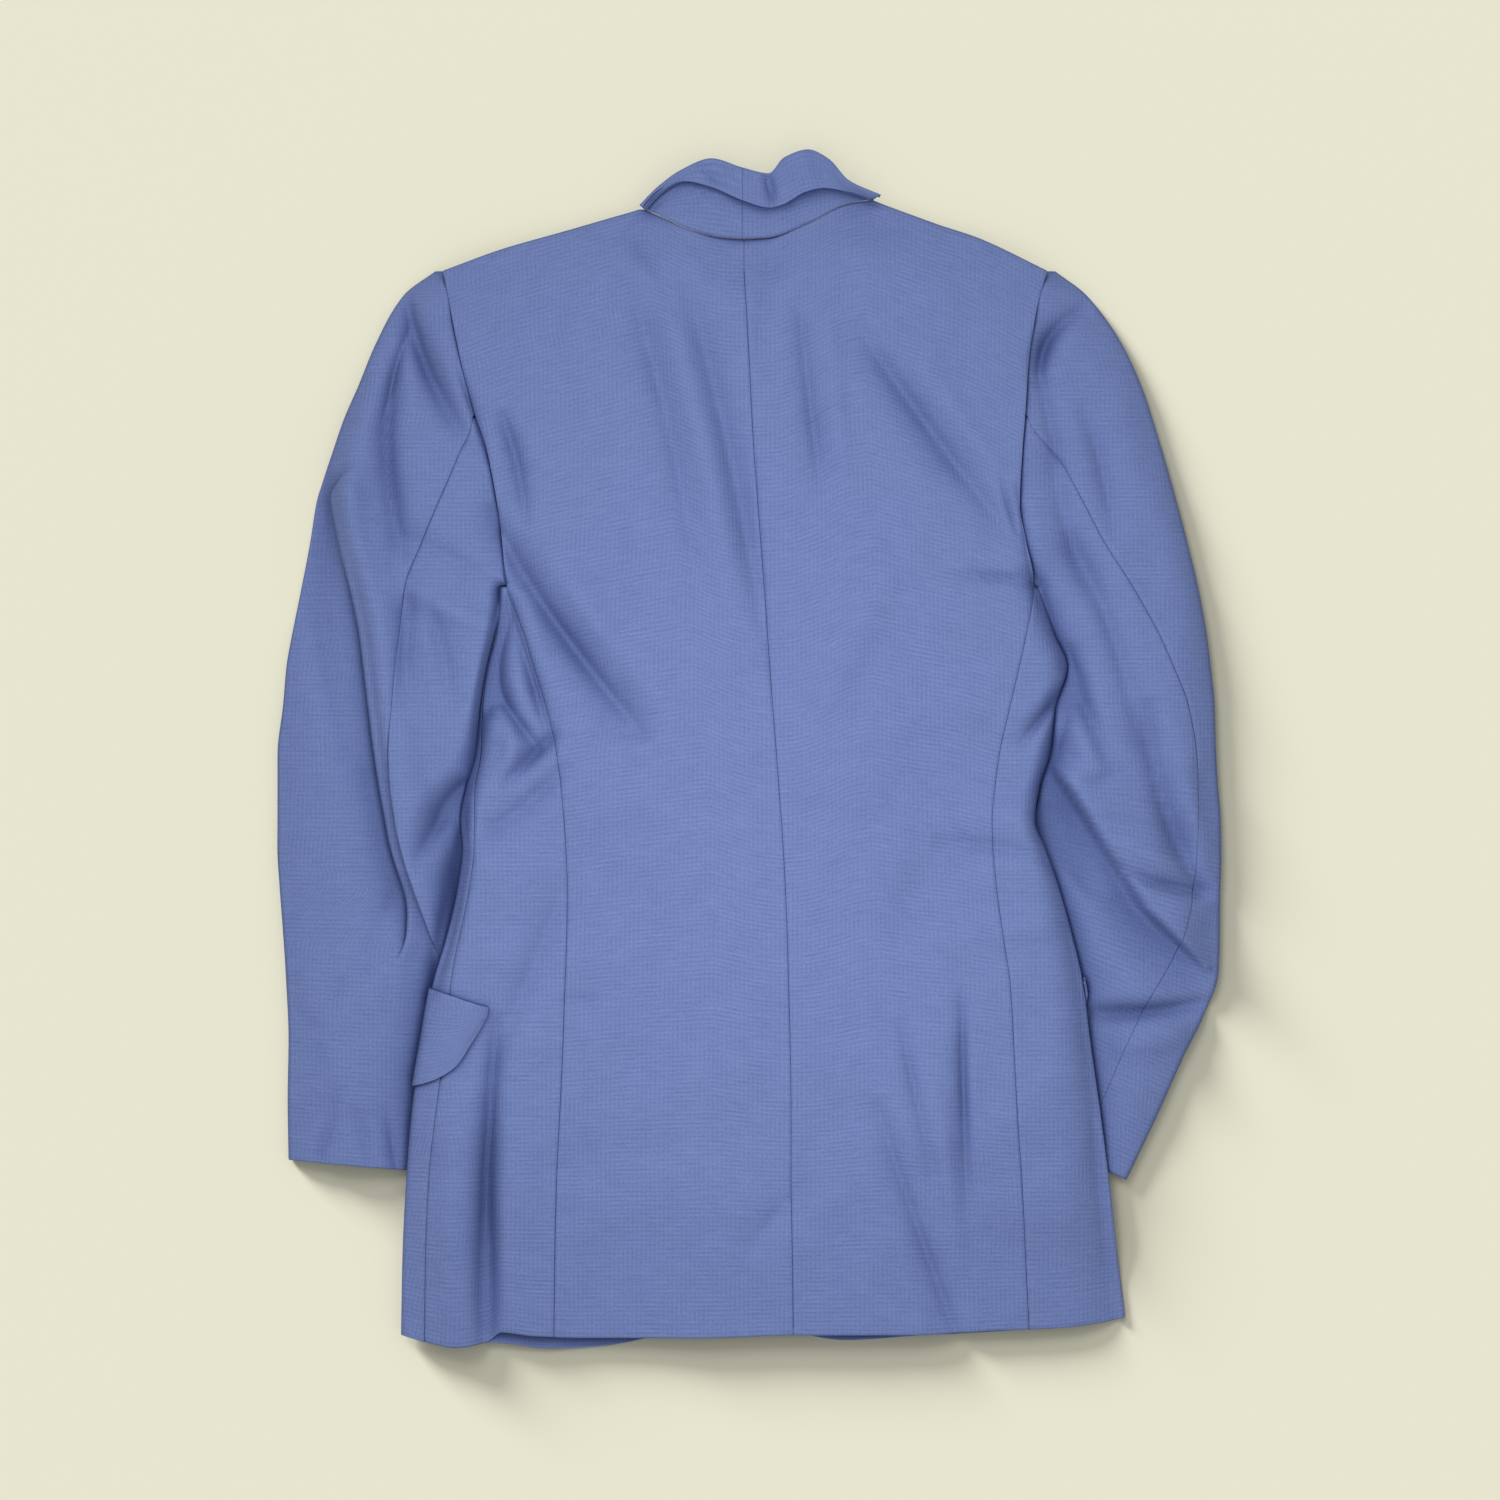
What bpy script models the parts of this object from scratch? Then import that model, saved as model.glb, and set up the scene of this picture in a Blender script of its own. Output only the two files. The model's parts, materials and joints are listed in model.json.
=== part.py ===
"""A tailored blazer laid flat on its front, back up, with its collar towards +Y.

+X is the wearer's right, +Z is up from the surface the blazer lies on. Sizes are in millimetres
up to the point where a mesh is made. Each cut piece is a thin wall: a grid of points on its outer
face, worked out from the tables below, with the wall's thickness turned inwards.
"""

import math

import bmesh
import bpy
import numpy as np

MM = 0.001
COLLECTION = "Blazer"

# Cloth
WALL = 2.0  # wool cloth together with its lining
GAP = 0.3  # between two pieces at a seam
LAYER = WALL + GAP  # how far one laid layer lifts the next
LAID = 6.6  # a flattened tube of cloth, outer face to outer face
ARC = math.pi / 4 * LAID  # cloth from the outermost point of a side to where the tube turns flat

# Levels of the garment, measured along Y from the middle of its length
SHOULDER_LEVEL = 320.7
SLEEVE_SEAM_LEVEL = 222.0
UNDERARM_LEVEL = 108.9
HEM_LEVEL = -393.0
HEM_START = -300.0  # below this the rows bend towards the hem's own line
LAPEL_BREAK_LEVEL = -25.0

# Closure: the wearer's right front lies outermost, so it is nearest the floor
OVERLAP = 18.0
CLOSURE_GAP = 1.1  # more room between the two fronts, which don't bend alike
BUTTON_RADIUS = 10.0
BUTTON_THICKNESS = 2.4
BUTTON_LEVELS = {"button_upper": -45.0, "button_lower": -150.0}

LEVELS_ABOVE_UNDERARM = [SHOULDER_LEVEL, 303, 283, 262, 243, SLEEVE_SEAM_LEVEL, 195, 167, 138]
LEVELS_BELOW_UNDERARM = [UNDERARM_LEVEL, 86, 60, 42, 16, -12, -44, -66, -92, -120, -150, -180,
                         -210, -240, -275, -310, -342, -370, HEM_LEVEL]
LEVELS = np.array(LEVELS_ABOVE_UNDERARM + LEVELS_BELOW_UNDERARM, float)
UNDERARM_ROW = len(LEVELS_ABOVE_UNDERARM)
SLEEVE_SEAM_ROW = LEVELS_ABOVE_UNDERARM.index(SLEEVE_SEAM_LEVEL)


def table(columns, *rows):
    """Rows of named columns, as one array for each column."""
    return dict(zip(columns.split(), np.array(rows, float).T))


# The body, a row for each level: the armhole and then the princess seam on each side, the centre
# back seam, and both sides of the body. turn_l is how far round the left side the front reaches,
# and lift is how high a forearm under that side holds the body.
BODY = table(
    "level   seam_l  centre  seam_r  side_l  side_r  turn_l  lift_l  lift_r",
    (320.7, -205.3, -3.6, 199.4, -205.3, 199.4, 2.0, 0.0, 0.0),
    (290.5, -199.3, -1.8, 191.6, -199.3, 191.6, 2.0, 0.0, 0.0),
    (254.3, -191.9, 0.2, 186.6, -191.9, 186.6, 2.0, 0.0, 0.0),
    (226.2, -184.5, 1.5, 184.7, -184.5, 184.7, 2.0, 0.0, 0.0),
    (200.7, -175.9, 3.0, 182.7, -175.9, 182.7, 2.0, 0.0, 0.0),
    (165.9, -169.1, 5.5, 181.0, -169.1, 181.0, 2.0, 0.0, 0.0),
    (140.4, -165.8, 7.4, 184.9, -166.4, 185.0, 2.0, 0.0, 0.0),
    (108.9, -162.6, 9.8, 190.6, -167.5, 194.5, 2.0, 0.0, 0.0),
    (76.8, -151.0, 12.1, 185.2, -171.4, 205.2, 2.0, 0.0, 0.0),
    (56.0, -145.0, 13.6, 180.6, -176.5, 213.5, 2.0, 0.0, 0.0),
    (30.6, -136.9, 15.5, 174.7, -180.7, 206.1, 3.0, 0.0, 0.0),
    (-3.6, -128.8, 18.1, 167.2, -184.2, 201.6, 5.4, 0.0, 0.0),
    (-24.0, -126.2, 19.6, 164.4, -189.8, 195.0, 7.6, 0.0, 0.6),
    (-47.2, -124.0, 21.4, 162.2, -193.9, 191.4, 11.5, 1.2, 6.9),
    (-66.0, -122.7, 22.6, 162.8, -192.2, 198.2, 9.6, 6.9, 6.9),
    (-92.0, -121.9, 24.0, 165.0, -195.4, 207.3, 9.8, 8.2, 6.9),
    (-127.6, -122.2, 25.4, 169.8, -203.5, 217.2, 10.6, 8.6, 6.9),
    (-157.7, -123.2, 26.2, 174.1, -212.2, 223.8, 14.2, 7.4, 6.9),
    (-194.6, -124.4, 27.2, 176.3, -218.7, 228.4, 17.6, 6.9, 6.9),
    (-234.8, -126.2, 27.8, 178.3, -225.4, 234.1, 18.6, 6.9, 6.9),
    (-288.4, -128.9, 27.9, 182.0, -230.1, 241.3, 17.3, 6.9, 6.9),
    (-342.0, -130.2, 28.8, 184.9, -232.8, 247.0, 17.6, 4.6, 6.9),
    (-393.0, -130.9, 29.5, 187.3, -233.8, 252.3, 17.7, 3.4, 6.9),
)

# Inner edge of each forearm where it lies under the body, and the line of the right cuff
FOREARM_L = table(
    "level  inner",
    (-41.8, -195.9),
    (-67.3, -189.9),
    (-100.8, -181.8),
    (-167.8, -180.5),
    (-234.8, -184.5),
    (-285.7, -186.5),
    (-393.0, -177.8),
)
FOREARM_R = table(
    "level  inner",
    (-17.0, 198.7),
    (-48.5, 186.7),
    (-80.7, 182.0),
    (-124.2, 169.2),
    (-187.9, 150.5),
    (-237.4, 136.4),
)
CUFF_R = ((136.4, -237.4), (253.0, -288.4))
FOREARM_MARGIN = 14.0  # how far past a forearm the body is still held at its height
CUFF_MARGIN = 20.0
FOREARM_SLOPE = 58.0  # length over which the body then comes down

# Where the raised cloth over the pieces laid beneath it starts and where it is at full height:
# levels, distances from the side, from a lapel's edge or low end, or from the centre line
FLAP_RISE = {"low": (-290, -244), "high": (-112, -146), "l": (158, 112), "r": (176, 130)}
LAPEL_RISE = {"low": (-54, -22), "high": (34, 14), "beyond": (46, 22)}
BUTTON_RISE = {"low": (-255, -195), "high": (60, 0), "beside": (100, 38)}
CLOSURE_RISE = {"high": (118, 84), "before": (-76, -30)}
CHEST_RISE = {"high": (160, 100), "beside": (125, 65)}

# Edges of the back: neck seam and shoulders, each as x and y
SHOULDER_L = table("x y", (-205.3, 320.7), (-167.1, 334.7), (-126.9, 346.4), (-71.5, 362.4))
NECK_L = table("x y", (-70.2, 361.6), (-56.5, 355.5), (-41.8, 348.5), (-19.0, 342.3), (-4.7, 341.2))
NECK_R = table("x y", (-4.7, 341.2), (11.8, 342.1), (39.3, 351.8), (65.4, 364.9), (82.0, 368.3))
SHOULDER_R = table("x y", (83.5, 367.6), (127.7, 351.5), (153.2, 342.8), (199.4, 320.7))

# Hems by x: the back's, with the step where its left roll hangs lower, and the longer fronts'
HEM_BACK = table(
    "x  y",
    (-233.8, -391.9), (-210.6, -398.2), (-197.6, -400.4), (-176.0, -397.4), (-166.0, -390.4),
    (-145.0, -392.9), (-110.8, -394.2), (-33.1, -394.2), (29.9, -392.2), (110.3, -392.2),
    (163.2, -389.5), (208.8, -387.5), (236.2, -384.2), (252.3, -380.8),
)
HEM_FRONT_L = table(
    "x  y",
    (-233.8, -391.9), (-197.6, -400.9), (-173.8, -397.6), (-131.3, -401.9), (-100.1, -400.3),
    (-64.3, -393.6), (-31.0, -381.0), (2.0, -352.0), (26.0, -312.0), (46.0, -245.0),
)
HEM_FRONT_R = table(
    "x  y",
    (10.0, -290.0), (15.0, -358.0), (33.9, -391.2), (65.4, -396.2), (110.3, -393.4),
    (187.3, -388.9), (252.3, -380.8),
)

# Collar by its share of the way along the neck: folded upper edge, and lower edge of the fall
COLLAR_TOP = table(
    "share  x  y",
    (0.00, -73.5, 364.6), (0.10, -61.2, 376.9), (0.20, -45.2, 388.3), (0.30, -25.7, 395.7),
    (0.42, -4.7, 389.6), (0.53, 13.1, 385.7), (0.59, 23.2, 396.4), (0.68, 39.3, 401.7),
    (0.76, 52.7, 395.7), (0.86, 66.7, 381.0), (1.00, 88.0, 371.4),
)
COLLAR_FALL = table(
    "share  x  y",
    (0.00, -69.5, 362.4), (0.10, -58.5, 373.2), (0.20, -41.8, 380.6), (0.30, -23.0, 376.3),
    (0.42, -4.7, 367.3), (0.53, 11.8, 362.5), (0.59, 22.0, 364.5), (0.68, 38.0, 372.4),
    (0.76, 52.0, 375.2), (0.86, 68.1, 373.0), (1.00, 84.0, 366.4),
)

# Lapels, hidden under the fronts: width beside the roll line at each level
LAPEL_L = table("level  width", (52, 8), (120, 34), (200, 58), (262, 72), (290, 60), (322, 34))
LAPEL_R = table("level  width", (-14, 6), (52, 18), (120, 38), (200, 58), (262, 72), (290, 60),
                (322, 34))

# Sleeves by level of the outer edge: outer and inner edge, how much further the inner end of the
# row lies along Y, the back seam, and the height of the laid tube. The left one has a long fold:
# where its upper layer ends over the lower one, how far it has risen (0 to 1) and its tuck.
SLEEVE_L = table(
    "level   outer   inner    tilt   seam    tall   fold   rise tuck",
    (320.7, -210.9, -205.3, 0.0, -205.3, 4.3, -208.0, 0.0, 1.6),
    (304.6, -232.1, -201.8, 0.0, -201.8, 6.6, -222.0, 0.0, 1.6),
    (272.4, -250.5, -195.9, 0.0, -195.9, 6.6, -236.0, 0.0, 1.6),
    (243.0, -262.6, -189.2, 0.0, -189.2, 6.6, -248.0, 0.0, 1.6),
    (222.0, -271.7, -183.4, 0.0, -185.2, 6.6, -257.0, 0.0, 1.6),
    (195.0, -281.0, -174.6, 0.0, -195.2, 6.4, -267.0, 0.2, 1.6),
    (167.0, -290.2, -169.2, 0.0, -207.2, 5.8, -279.0, 0.9, 1.6),
    (138.0, -294.9, -166.2, 0.0, -219.6, 5.3, -275.2, 1.0, 4.0),
    (108.9, -300.5, -168.1, 0.0, -230.5, 5.2, -267.9, 1.0, 7.0),
    (76.8, -306.9, -172.0, 0.0, -234.1, 5.2, -261.2, 1.0, 9.0),
    (56.0, -310.5, -177.1, 0.0, -236.6, 5.2, -258.6, 1.0, 9.0),
    (30.6, -312.7, -181.3, 0.0, -238.8, 5.2, -255.5, 1.0, 9.0),
    (-3.6, -316.5, -184.8, 0.0, -241.0, 5.2, -251.2, 1.0, 9.0),
    (-24.0, -316.5, -190.4, 0.0, -240.0, 5.2, -248.2, 1.0, 9.0),
    (-44.0, -316.5, -196.2, 0.0, -237.4, 5.2, -244.6, 1.0, 9.0),
    (-66.0, -316.6, -190.2, 0.0, -233.0, 5.2, -240.4, 1.0, 9.0),
    (-92.0, -315.1, -183.4, -0.8, -225.0, 5.2, -232.2, 1.0, 8.0),
    (-120.0, -313.0, -181.4, -2.4, -214.6, 5.4, -221.8, 0.7, 2.0),
    (-150.0, -311.0, -180.7, -4.2, -204.0, 5.9, -211.6, 0.1, 1.6),
    (-194.6, -309.1, -182.0, -6.6, -202.0, 6.3, -209.6, 0.0, 1.6),
    (-234.8, -309.7, -184.6, -8.8, -203.0, 6.4, -211.0, 0.0, 1.6),
    (-275.0, -309.1, -188.5, -10.7, -204.0, 6.4, -212.0, 0.0, 1.6),
)
SLEEVE_R = table(
    "level   outer   inner    tilt   seam   tall",
    (320.7, 205.4, 199.4, 0.0, 199.4, 4.3),
    (304.6, 226.2, 194.8, 0.0, 194.8, 6.6),
    (272.4, 249.5, 188.5, 0.0, 188.5, 6.6),
    (243.0, 263.2, 185.8, 0.0, 185.8, 6.6),
    (222.0, 270.2, 184.6, 0.0, 186.4, 6.6),
    (195.0, 278.4, 182.2, 0.0, 206.8, 6.6),
    (167.0, 286.3, 181.1, 0.0, 222.7, 6.6),
    (138.0, 293.9, 185.4, 0.0, 238.0, 6.6),
    (108.9, 300.8, 195.1, 0.0, 256.4, 6.6),
    (76.8, 306.7, 205.8, 0.0, 274.2, 6.6),
    (56.0, 309.3, 214.1, 0.0, 283.4, 6.6),
    (30.6, 311.9, 206.7, 0.0, 293.5, 6.6),
    (-3.6, 313.0, 202.2, 0.0, 299.5, 6.6),
    (-24.0, 314.2, 198.6, 5.0, 300.4, 6.6),
    (-47.2, 316.0, 193.6, 15.4, 300.6, 6.6),
    (-72.6, 316.4, 188.0, 25.4, 299.6, 6.6),
    (-100.8, 315.6, 184.0, 34.9, 297.0, 6.6),
    (-127.6, 315.4, 180.0, 41.6, 292.0, 6.6),
    (-149.7, 314.6, 174.6, 45.6, 284.0, 6.6),
    (-181.8, 303.2, 168.6, 55.6, 268.0, 6.6),
    (-204.6, 291.8, 161.2, 53.6, 256.0, 6.6),
    (-242.1, 275.0, 150.5, 54.2, 240.0, 6.6),
    (-288.4, 253.0, 136.4, 51.0, 219.0, 6.6),
)
SLEEVE_LEVELS_L = np.array(LEVELS_ABOVE_UNDERARM + [
    UNDERARM_LEVEL, 86, 60, 42, 16, -12, -44, -66, -92, -120, -150, -190, -232, -275], float)
SLEEVE_LEVELS_R = np.array(LEVELS_ABOVE_UNDERARM + [
    UNDERARM_LEVEL, 86, 60, 42, 16, -8, -32, -58, -86, -114, -142, -172, -204, -246, -288.4], float)
SLEEVE_TURN = 14.0  # how far the under sleeve reaches onto the floor side

# The fold across the right elbow: the upper arm's cloth stands over the forearm along this line
ELBOW_FOLD = table("x y", (202.1, -3.6), (226.2, -41.1), (266.4, -104.8), (307.3, -144.3))
ELBOW_RISE = 4.2
ELBOW_REACH = 36.0  # behind the fold, the length over which the raised cloth comes down
ELBOW_STEP = 7.0  # before it
ELBOW_START = (4, 26)  # distances from the line's upper end
FULL_SLEEVE = (4.3, 5.2)  # tube heights between which a sleeve's folds reach their full height

# Soft ridges and troughs of the upper side: from one end to the other, half width and height
BODY_FOLDS = table(
    "x1    y1    x2    y2   spread height",
    (-172, -214, -170, -396, 9.0, -2.0),
    (-192, -215, -194, -392, 12.0, 2.0),
    (-127, -105, -168, -206, 13.0, 1.6),
    (-60, 340, -44, 130, 15.0, 1.8),
    (-33, 330, -26, 160, 12.0, -1.0),
    (42, 234, 47, 160, 8.0, 1.6),
    (104, 255, 158, 178, 14.0, -1.8),
    (-154, 214, -146, 154, 11.0, -1.6),
    (-128, 90, -100, 34, 14.0, -1.4),
    (109, -210, 122, -286, 8.0, 1.8),
    (144, -208, 144, -286, 7.0, 1.8),
    (94, -273, 134, -369, 10.0, 1.5),
)
SLEEVE_FOLDS = table(
    "x1    y1    x2    y2   spread height",
    (-219, 296, -204, 220, 10.0, -1.6),
    (-232, 273, -243, 186, 10.0, -1.4),
    (246, 238, 276, 150, 13.0, 1.4),
)

# Hip pocket flaps by distance round the side, positive on the upper side: top and bottom edge
FLAP_L = table(
    "turn   top    bottom",
    (-98.0, -166.0, -196.0), (-92.0, -158.5, -214.0), (-60.0, -157.0, -224.0),
    (-20.0, -158.0, -226.0), (0.0, -159.7, -224.8), (12.0, -162.8, -221.7),
    (27.0, -167.8, -212.0), (36.0, -170.6, -194.0), (42.5, -172.2, -178.0),
)
FLAP_R = table(
    "turn   top    bottom",
    (1.0, -152.5, -160.0), (-8.0, -153.0, -184.0), (-22.0, -154.0, -205.0),
    (-44.0, -155.0, -215.0), (-84.0, -157.0, -217.0), (-108.0, -159.0, -210.0),
    (-114.0, -166.0, -190.0),
)
FLAP_WALL = 1.5
FLAP_GAP = 0.7
FLAP_GAP_FLOOR = 1.0  # under the fronts, where the cloth comes down from the forearms

CLOTH_COLOUR = (0.165, 0.225, 0.465)
BUTTON_COLOUR = (0.10, 0.13, 0.24)


def smooth(knots, values, at):
    """Value at a place on a smooth curve through the knots that doesn't overshoot them."""
    knots, values, at = (np.asarray(a, float) for a in (knots, values, at))
    if knots[0] > knots[-1]:
        knots, values = knots[::-1], values[::-1]
    step = np.diff(knots)
    slope = np.diff(values) / step
    tangent = np.concatenate([slope[:1], np.zeros(len(slope) - 1), slope[-1:]])
    product = slope[:-1] * slope[1:]
    level_with = product > 0
    tangent[1:-1][level_with] = 2 * product[level_with] / (slope[:-1] + slope[1:])[level_with]
    i = np.clip(np.searchsorted(knots, at) - 1, 0, len(step) - 1)
    t = np.clip((at - knots[i]) / step[i], 0, 1)
    start = (2 * t**3 - 3 * t**2 + 1) * values[i] + (t**3 - 2 * t**2 + t) * step[i] * tangent[i]
    end = (3 * t**2 - 2 * t**3) * values[i + 1] + (t**3 - t**2) * step[i] * tangent[i + 1]
    return start + end


def column(rows, name, at, key="level"):
    """A named column of a table, read at a level or another key."""
    return smooth(rows[key], rows[name], at)


def ramp(value, start, end):
    """0 before start, 1 after end, with a soft change between them."""
    t = np.clip((np.asarray(value, float) - start) / (end - start), 0, 1)
    return t * t * (3 - 2 * t)


def along(edge, shares):
    """Points at shares of the length of a polyline of x and y."""
    x, y = edge["x"], edge["y"]
    length = np.concatenate([[0], np.cumsum(np.hypot(np.diff(x), np.diff(y)))])
    at = np.asarray(shares) * length[-1]
    return np.stack([smooth(length, x, at), smooth(length, y, at)], axis=-1)


def signed_distance(x, y, line):
    """Distance from a polyline, positive on the left of its direction."""
    best = np.full(np.shape(x), np.inf)
    signed = np.zeros(np.shape(x))
    for x1, y1, x2, y2 in zip(line["x"][:-1], line["y"][:-1], line["x"][1:], line["y"][1:]):
        dx, dy = x2 - x1, y2 - y1
        t = np.clip(((x - x1) * dx + (y - y1) * dy) / (dx * dx + dy * dy), 0, 1)
        away = np.hypot(x - x1 - t * dx, y - y1 - t * dy)
        side = np.sign(dx * (y - y1) - dy * (x - x1))
        signed = np.where(away < best, away * side, signed)
        best = np.minimum(best, away)
    return signed


def folds(rows, x, y):
    """Height that the soft ridges and troughs add: a bell across each, dying out past its ends."""
    height = np.zeros(np.broadcast(x, y).shape)
    for x1, y1, x2, y2, spread, tall in zip(*rows.values()):
        length = math.hypot(x2 - x1, y2 - y1)
        ux, uy = (x2 - x1) / length, (y2 - y1) / length
        run = (x - x1) * ux + (y - y1) * uy
        past = np.maximum(np.maximum(-run, run - length), 0)
        across = (x - x1) * uy - (y - y1) * ux
        height = height + tall * np.exp(-(across / spread) ** 2 - (past / (1.6 * spread)) ** 2)
    return height


def lift(x, y):
    """Height at which the forearms hold the body: flat over them, a soft slope beside them."""
    beside_l = x - column(FOREARM_L, "inner", y)
    beside_r = column(FOREARM_R, "inner", y) - x
    (x1, y1), (x2, y2) = CUFF_R
    below = ((x - x1) * (y2 - y1) - (y - y1) * (x2 - x1)) / math.hypot(x2 - x1, y2 - y1)
    far = FOREARM_MARGIN + FOREARM_SLOPE
    left = column(BODY, "lift_l", y) * ramp(beside_l, far, FOREARM_MARGIN)
    right = column(BODY, "lift_r", y) * ramp(beside_r, far, FOREARM_MARGIN)
    return left + right * ramp(below, CUFF_MARGIN + FOREARM_SLOPE, CUFF_MARGIN)


def flap_pad(x, y):
    """Height that the pocket flaps, lying under the fronts, add."""
    levels = ramp(y, *FLAP_RISE["low"]) * ramp(y, *FLAP_RISE["high"])
    left = ramp(x - column(BODY, "side_l", y), *FLAP_RISE["l"])
    right = ramp(column(BODY, "side_r", y) - x, *FLAP_RISE["r"])
    return (FLAP_WALL + FLAP_GAP_FLOOR + GAP) * levels * (left + right)


def roll_line(side, y):
    """X of a front's inner edge: down the roll line to the break, then down the front edge."""
    centre = column(BODY, "centre", y)
    at_break = float(column(BODY, "centre", LAPEL_BREAK_LEVEL))
    if side == "l":
        break_x, neck_x, neck_y = at_break + OVERLAP, SHOULDER_L["x"][-1], SHOULDER_L["y"][-1]
    else:
        break_x, neck_x, neck_y = at_break - OVERLAP, SHOULDER_R["x"][0], SHOULDER_R["y"][0]
    below = np.where(y < LAPEL_BREAK_LEVEL, centre - at_break, 0)
    return smooth([LAPEL_BREAK_LEVEL, neck_y], [break_x, neck_x], y) + below


def lapel_pad(side, x, y):
    """Height that a lapel, lying under its front, adds."""
    rows = LAPEL_L if side == "l" else LAPEL_R
    inwards = 1 if side == "l" else -1
    low, high = rows["level"][0], rows["level"][-1]
    levels = ramp(y - low, *LAPEL_RISE["low"]) * ramp(y - high, *LAPEL_RISE["high"])
    beyond = inwards * (roll_line(side, y) - x) - column(rows, "width", y)
    return LAYER * levels * ramp(beyond, *LAPEL_RISE["beyond"])


def button_pad(x, y):
    """Height that the two buttons, lying under the closed fronts, add to the band round them."""
    away = np.abs(x - column(BODY, "centre", y))
    levels = ramp(y, *BUTTON_RISE["low"]) * ramp(y, *BUTTON_RISE["high"])
    return (BUTTON_THICKNESS + GAP) * levels * ramp(away, *BUTTON_RISE["beside"])


def under_face(side, x, y):
    """Height of the fronts' outer face, the one that looks at the floor."""
    low = lift(x, y) + flap_pad(x, y)
    right = np.maximum(lapel_pad("r", x, y), button_pad(x, y))
    if side == "r":
        return low + right
    over = ramp(x - roll_line("r", y), *CLOSURE_RISE["before"]) * ramp(y, *CLOSURE_RISE["high"])
    return low + np.maximum(lapel_pad("l", x, y), over * (LAYER + CLOSURE_GAP + right))


def top_face(x, y):
    """Height of the upper side: the back, the side panels and the sleeves beside them."""
    right = np.maximum(lapel_pad("r", x, y), button_pad(x, y))
    closed = (CLOSURE_GAP + right) * ramp(y, *CHEST_RISE["high"])
    beside = np.abs(x - column(BODY, "centre", y))
    middle = (LAYER + closed) * ramp(beside, *CHEST_RISE["beside"])
    chest = np.maximum(np.maximum(middle, right), lapel_pad("l", x, y))
    return LAID + lift(x, y) + flap_pad(x, y) + chest + folds(BODY_FOLDS, x, y)


def tube_point(side, level, turn):
    """Point of the body's tube at a distance of cloth round its side.

    The turn is 0 at the outermost point, positive towards the upper side and negative towards
    the floor: a half circle as tall as the laid tube, and then the flat faces.
    """
    inwards = 1 if side == "l" else -1
    edge = column(BODY, "side_" + side, level) + inwards * GAP
    radius = 0.5 * (top_face(edge + inwards * LAID / 2, level) - under_face(side, edge, level))
    quarter = math.pi / 2 * radius
    angle = np.clip(turn / radius, -math.pi / 2, math.pi / 2)
    flat = np.maximum(np.abs(turn) - quarter, 0)
    x = edge + inwards * (radius * (1 - np.cos(angle)) + flat)
    middle = under_face(side, edge, level) + radius
    z = middle + radius * np.sin(angle)
    z = np.where((flat > 0) & (turn > 0), top_face(x, level), z)
    z = np.where((flat > 0) & (turn < 0), under_face(side, x, level), z)
    return x, z


def turn_at(side, level, x):
    """Distance of cloth round the side to a place on the upper side."""
    edge = column(BODY, "side_" + side, level)
    return np.abs(x - edge) + ARC - LAID / 2 - GAP


def hem_share(level):
    """How much a row follows the hem's own line: not at all above the last few, wholly at the hem."""
    return ramp(level, HEM_START, HEM_LEVEL)


def follow_hem(x, level, hem):
    return level + hem_share(level) * (column(hem, "y", x, "x") - HEM_LEVEL)


def coons(left, right, top, bottom):
    """Grid of points that blends four edges, rows from top to bottom, columns from left to right.

    It adds the blend of left and right to the blend of top and bottom, less the corners' own.
    """
    across = np.concatenate([[0], np.cumsum(np.linalg.norm(np.diff(top, axis=0), axis=1))])
    down = np.concatenate([[0], np.cumsum(np.linalg.norm(np.diff(left, axis=0), axis=1))])
    u = (across / across[-1])[None, :, None]
    v = (down / down[-1])[:, None, None]
    sides = (1 - u) * left[:, None] + u * right[:, None]
    ends = (1 - v) * top[None] + v * bottom[None]
    corners = ((1 - u) * (1 - v) * left[0] + u * (1 - v) * right[0]
               + (1 - u) * v * left[-1] + u * v * right[-1])
    return sides + ends - corners


def cloth_material(name, colour, roughness):
    material = bpy.data.materials.new(name)
    material.use_nodes = True
    shader = material.node_tree.nodes["Principled BSDF"]
    shader.inputs["Base Color"].default_value = (*colour, 1)
    shader.inputs["Roughness"].default_value = roughness
    shader.inputs["Metallic"].default_value = 0
    return material


def add_object(name, mesh, material):
    part = bpy.data.objects.new(name, mesh)
    mesh.materials.append(material)
    bpy.data.collections[COLLECTION].objects.link(part)
    return part


def panel(name, grid, kept=None, wall=WALL, even=True):
    """One cut piece: a surface through rows and columns of points, with its wall turned inwards.

    Where kept is given, only its cells are made, so a piece can have a step in its outline. A
    piece with a sharp fold takes no even offset, which would draw its inner corners far out.
    """
    rows, columns = grid.shape[:2]
    index = np.arange(rows * columns).reshape(rows, columns)
    cells = np.stack([index[:-1, :-1], index[1:, :-1], index[1:, 1:], index[:-1, 1:]], axis=-1)
    if kept is not None:
        cells = cells[kept]
    faces = cells.reshape(-1, 4)
    used, faces = np.unique(faces, return_inverse=True)
    mesh = bpy.data.meshes.new(name)
    points = grid.reshape(-1, 3)[used] * MM
    mesh.from_pydata(points.tolist(), [], faces.reshape(-1, 4).tolist())
    mesh.update()
    mesh.shade_smooth()
    part = add_object(name, mesh, cloth_material(name, CLOTH_COLOUR, 0.85))
    solidify = part.modifiers.new("Wall", "SOLIDIFY")
    solidify.thickness = wall * MM
    solidify.offset = -1
    solidify.use_even_offset = even
    solidify.use_quality_normals = True
    return part


BACK_SHOULDER_COLUMNS = 6
BACK_NECK_COLUMNS = 7

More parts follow.
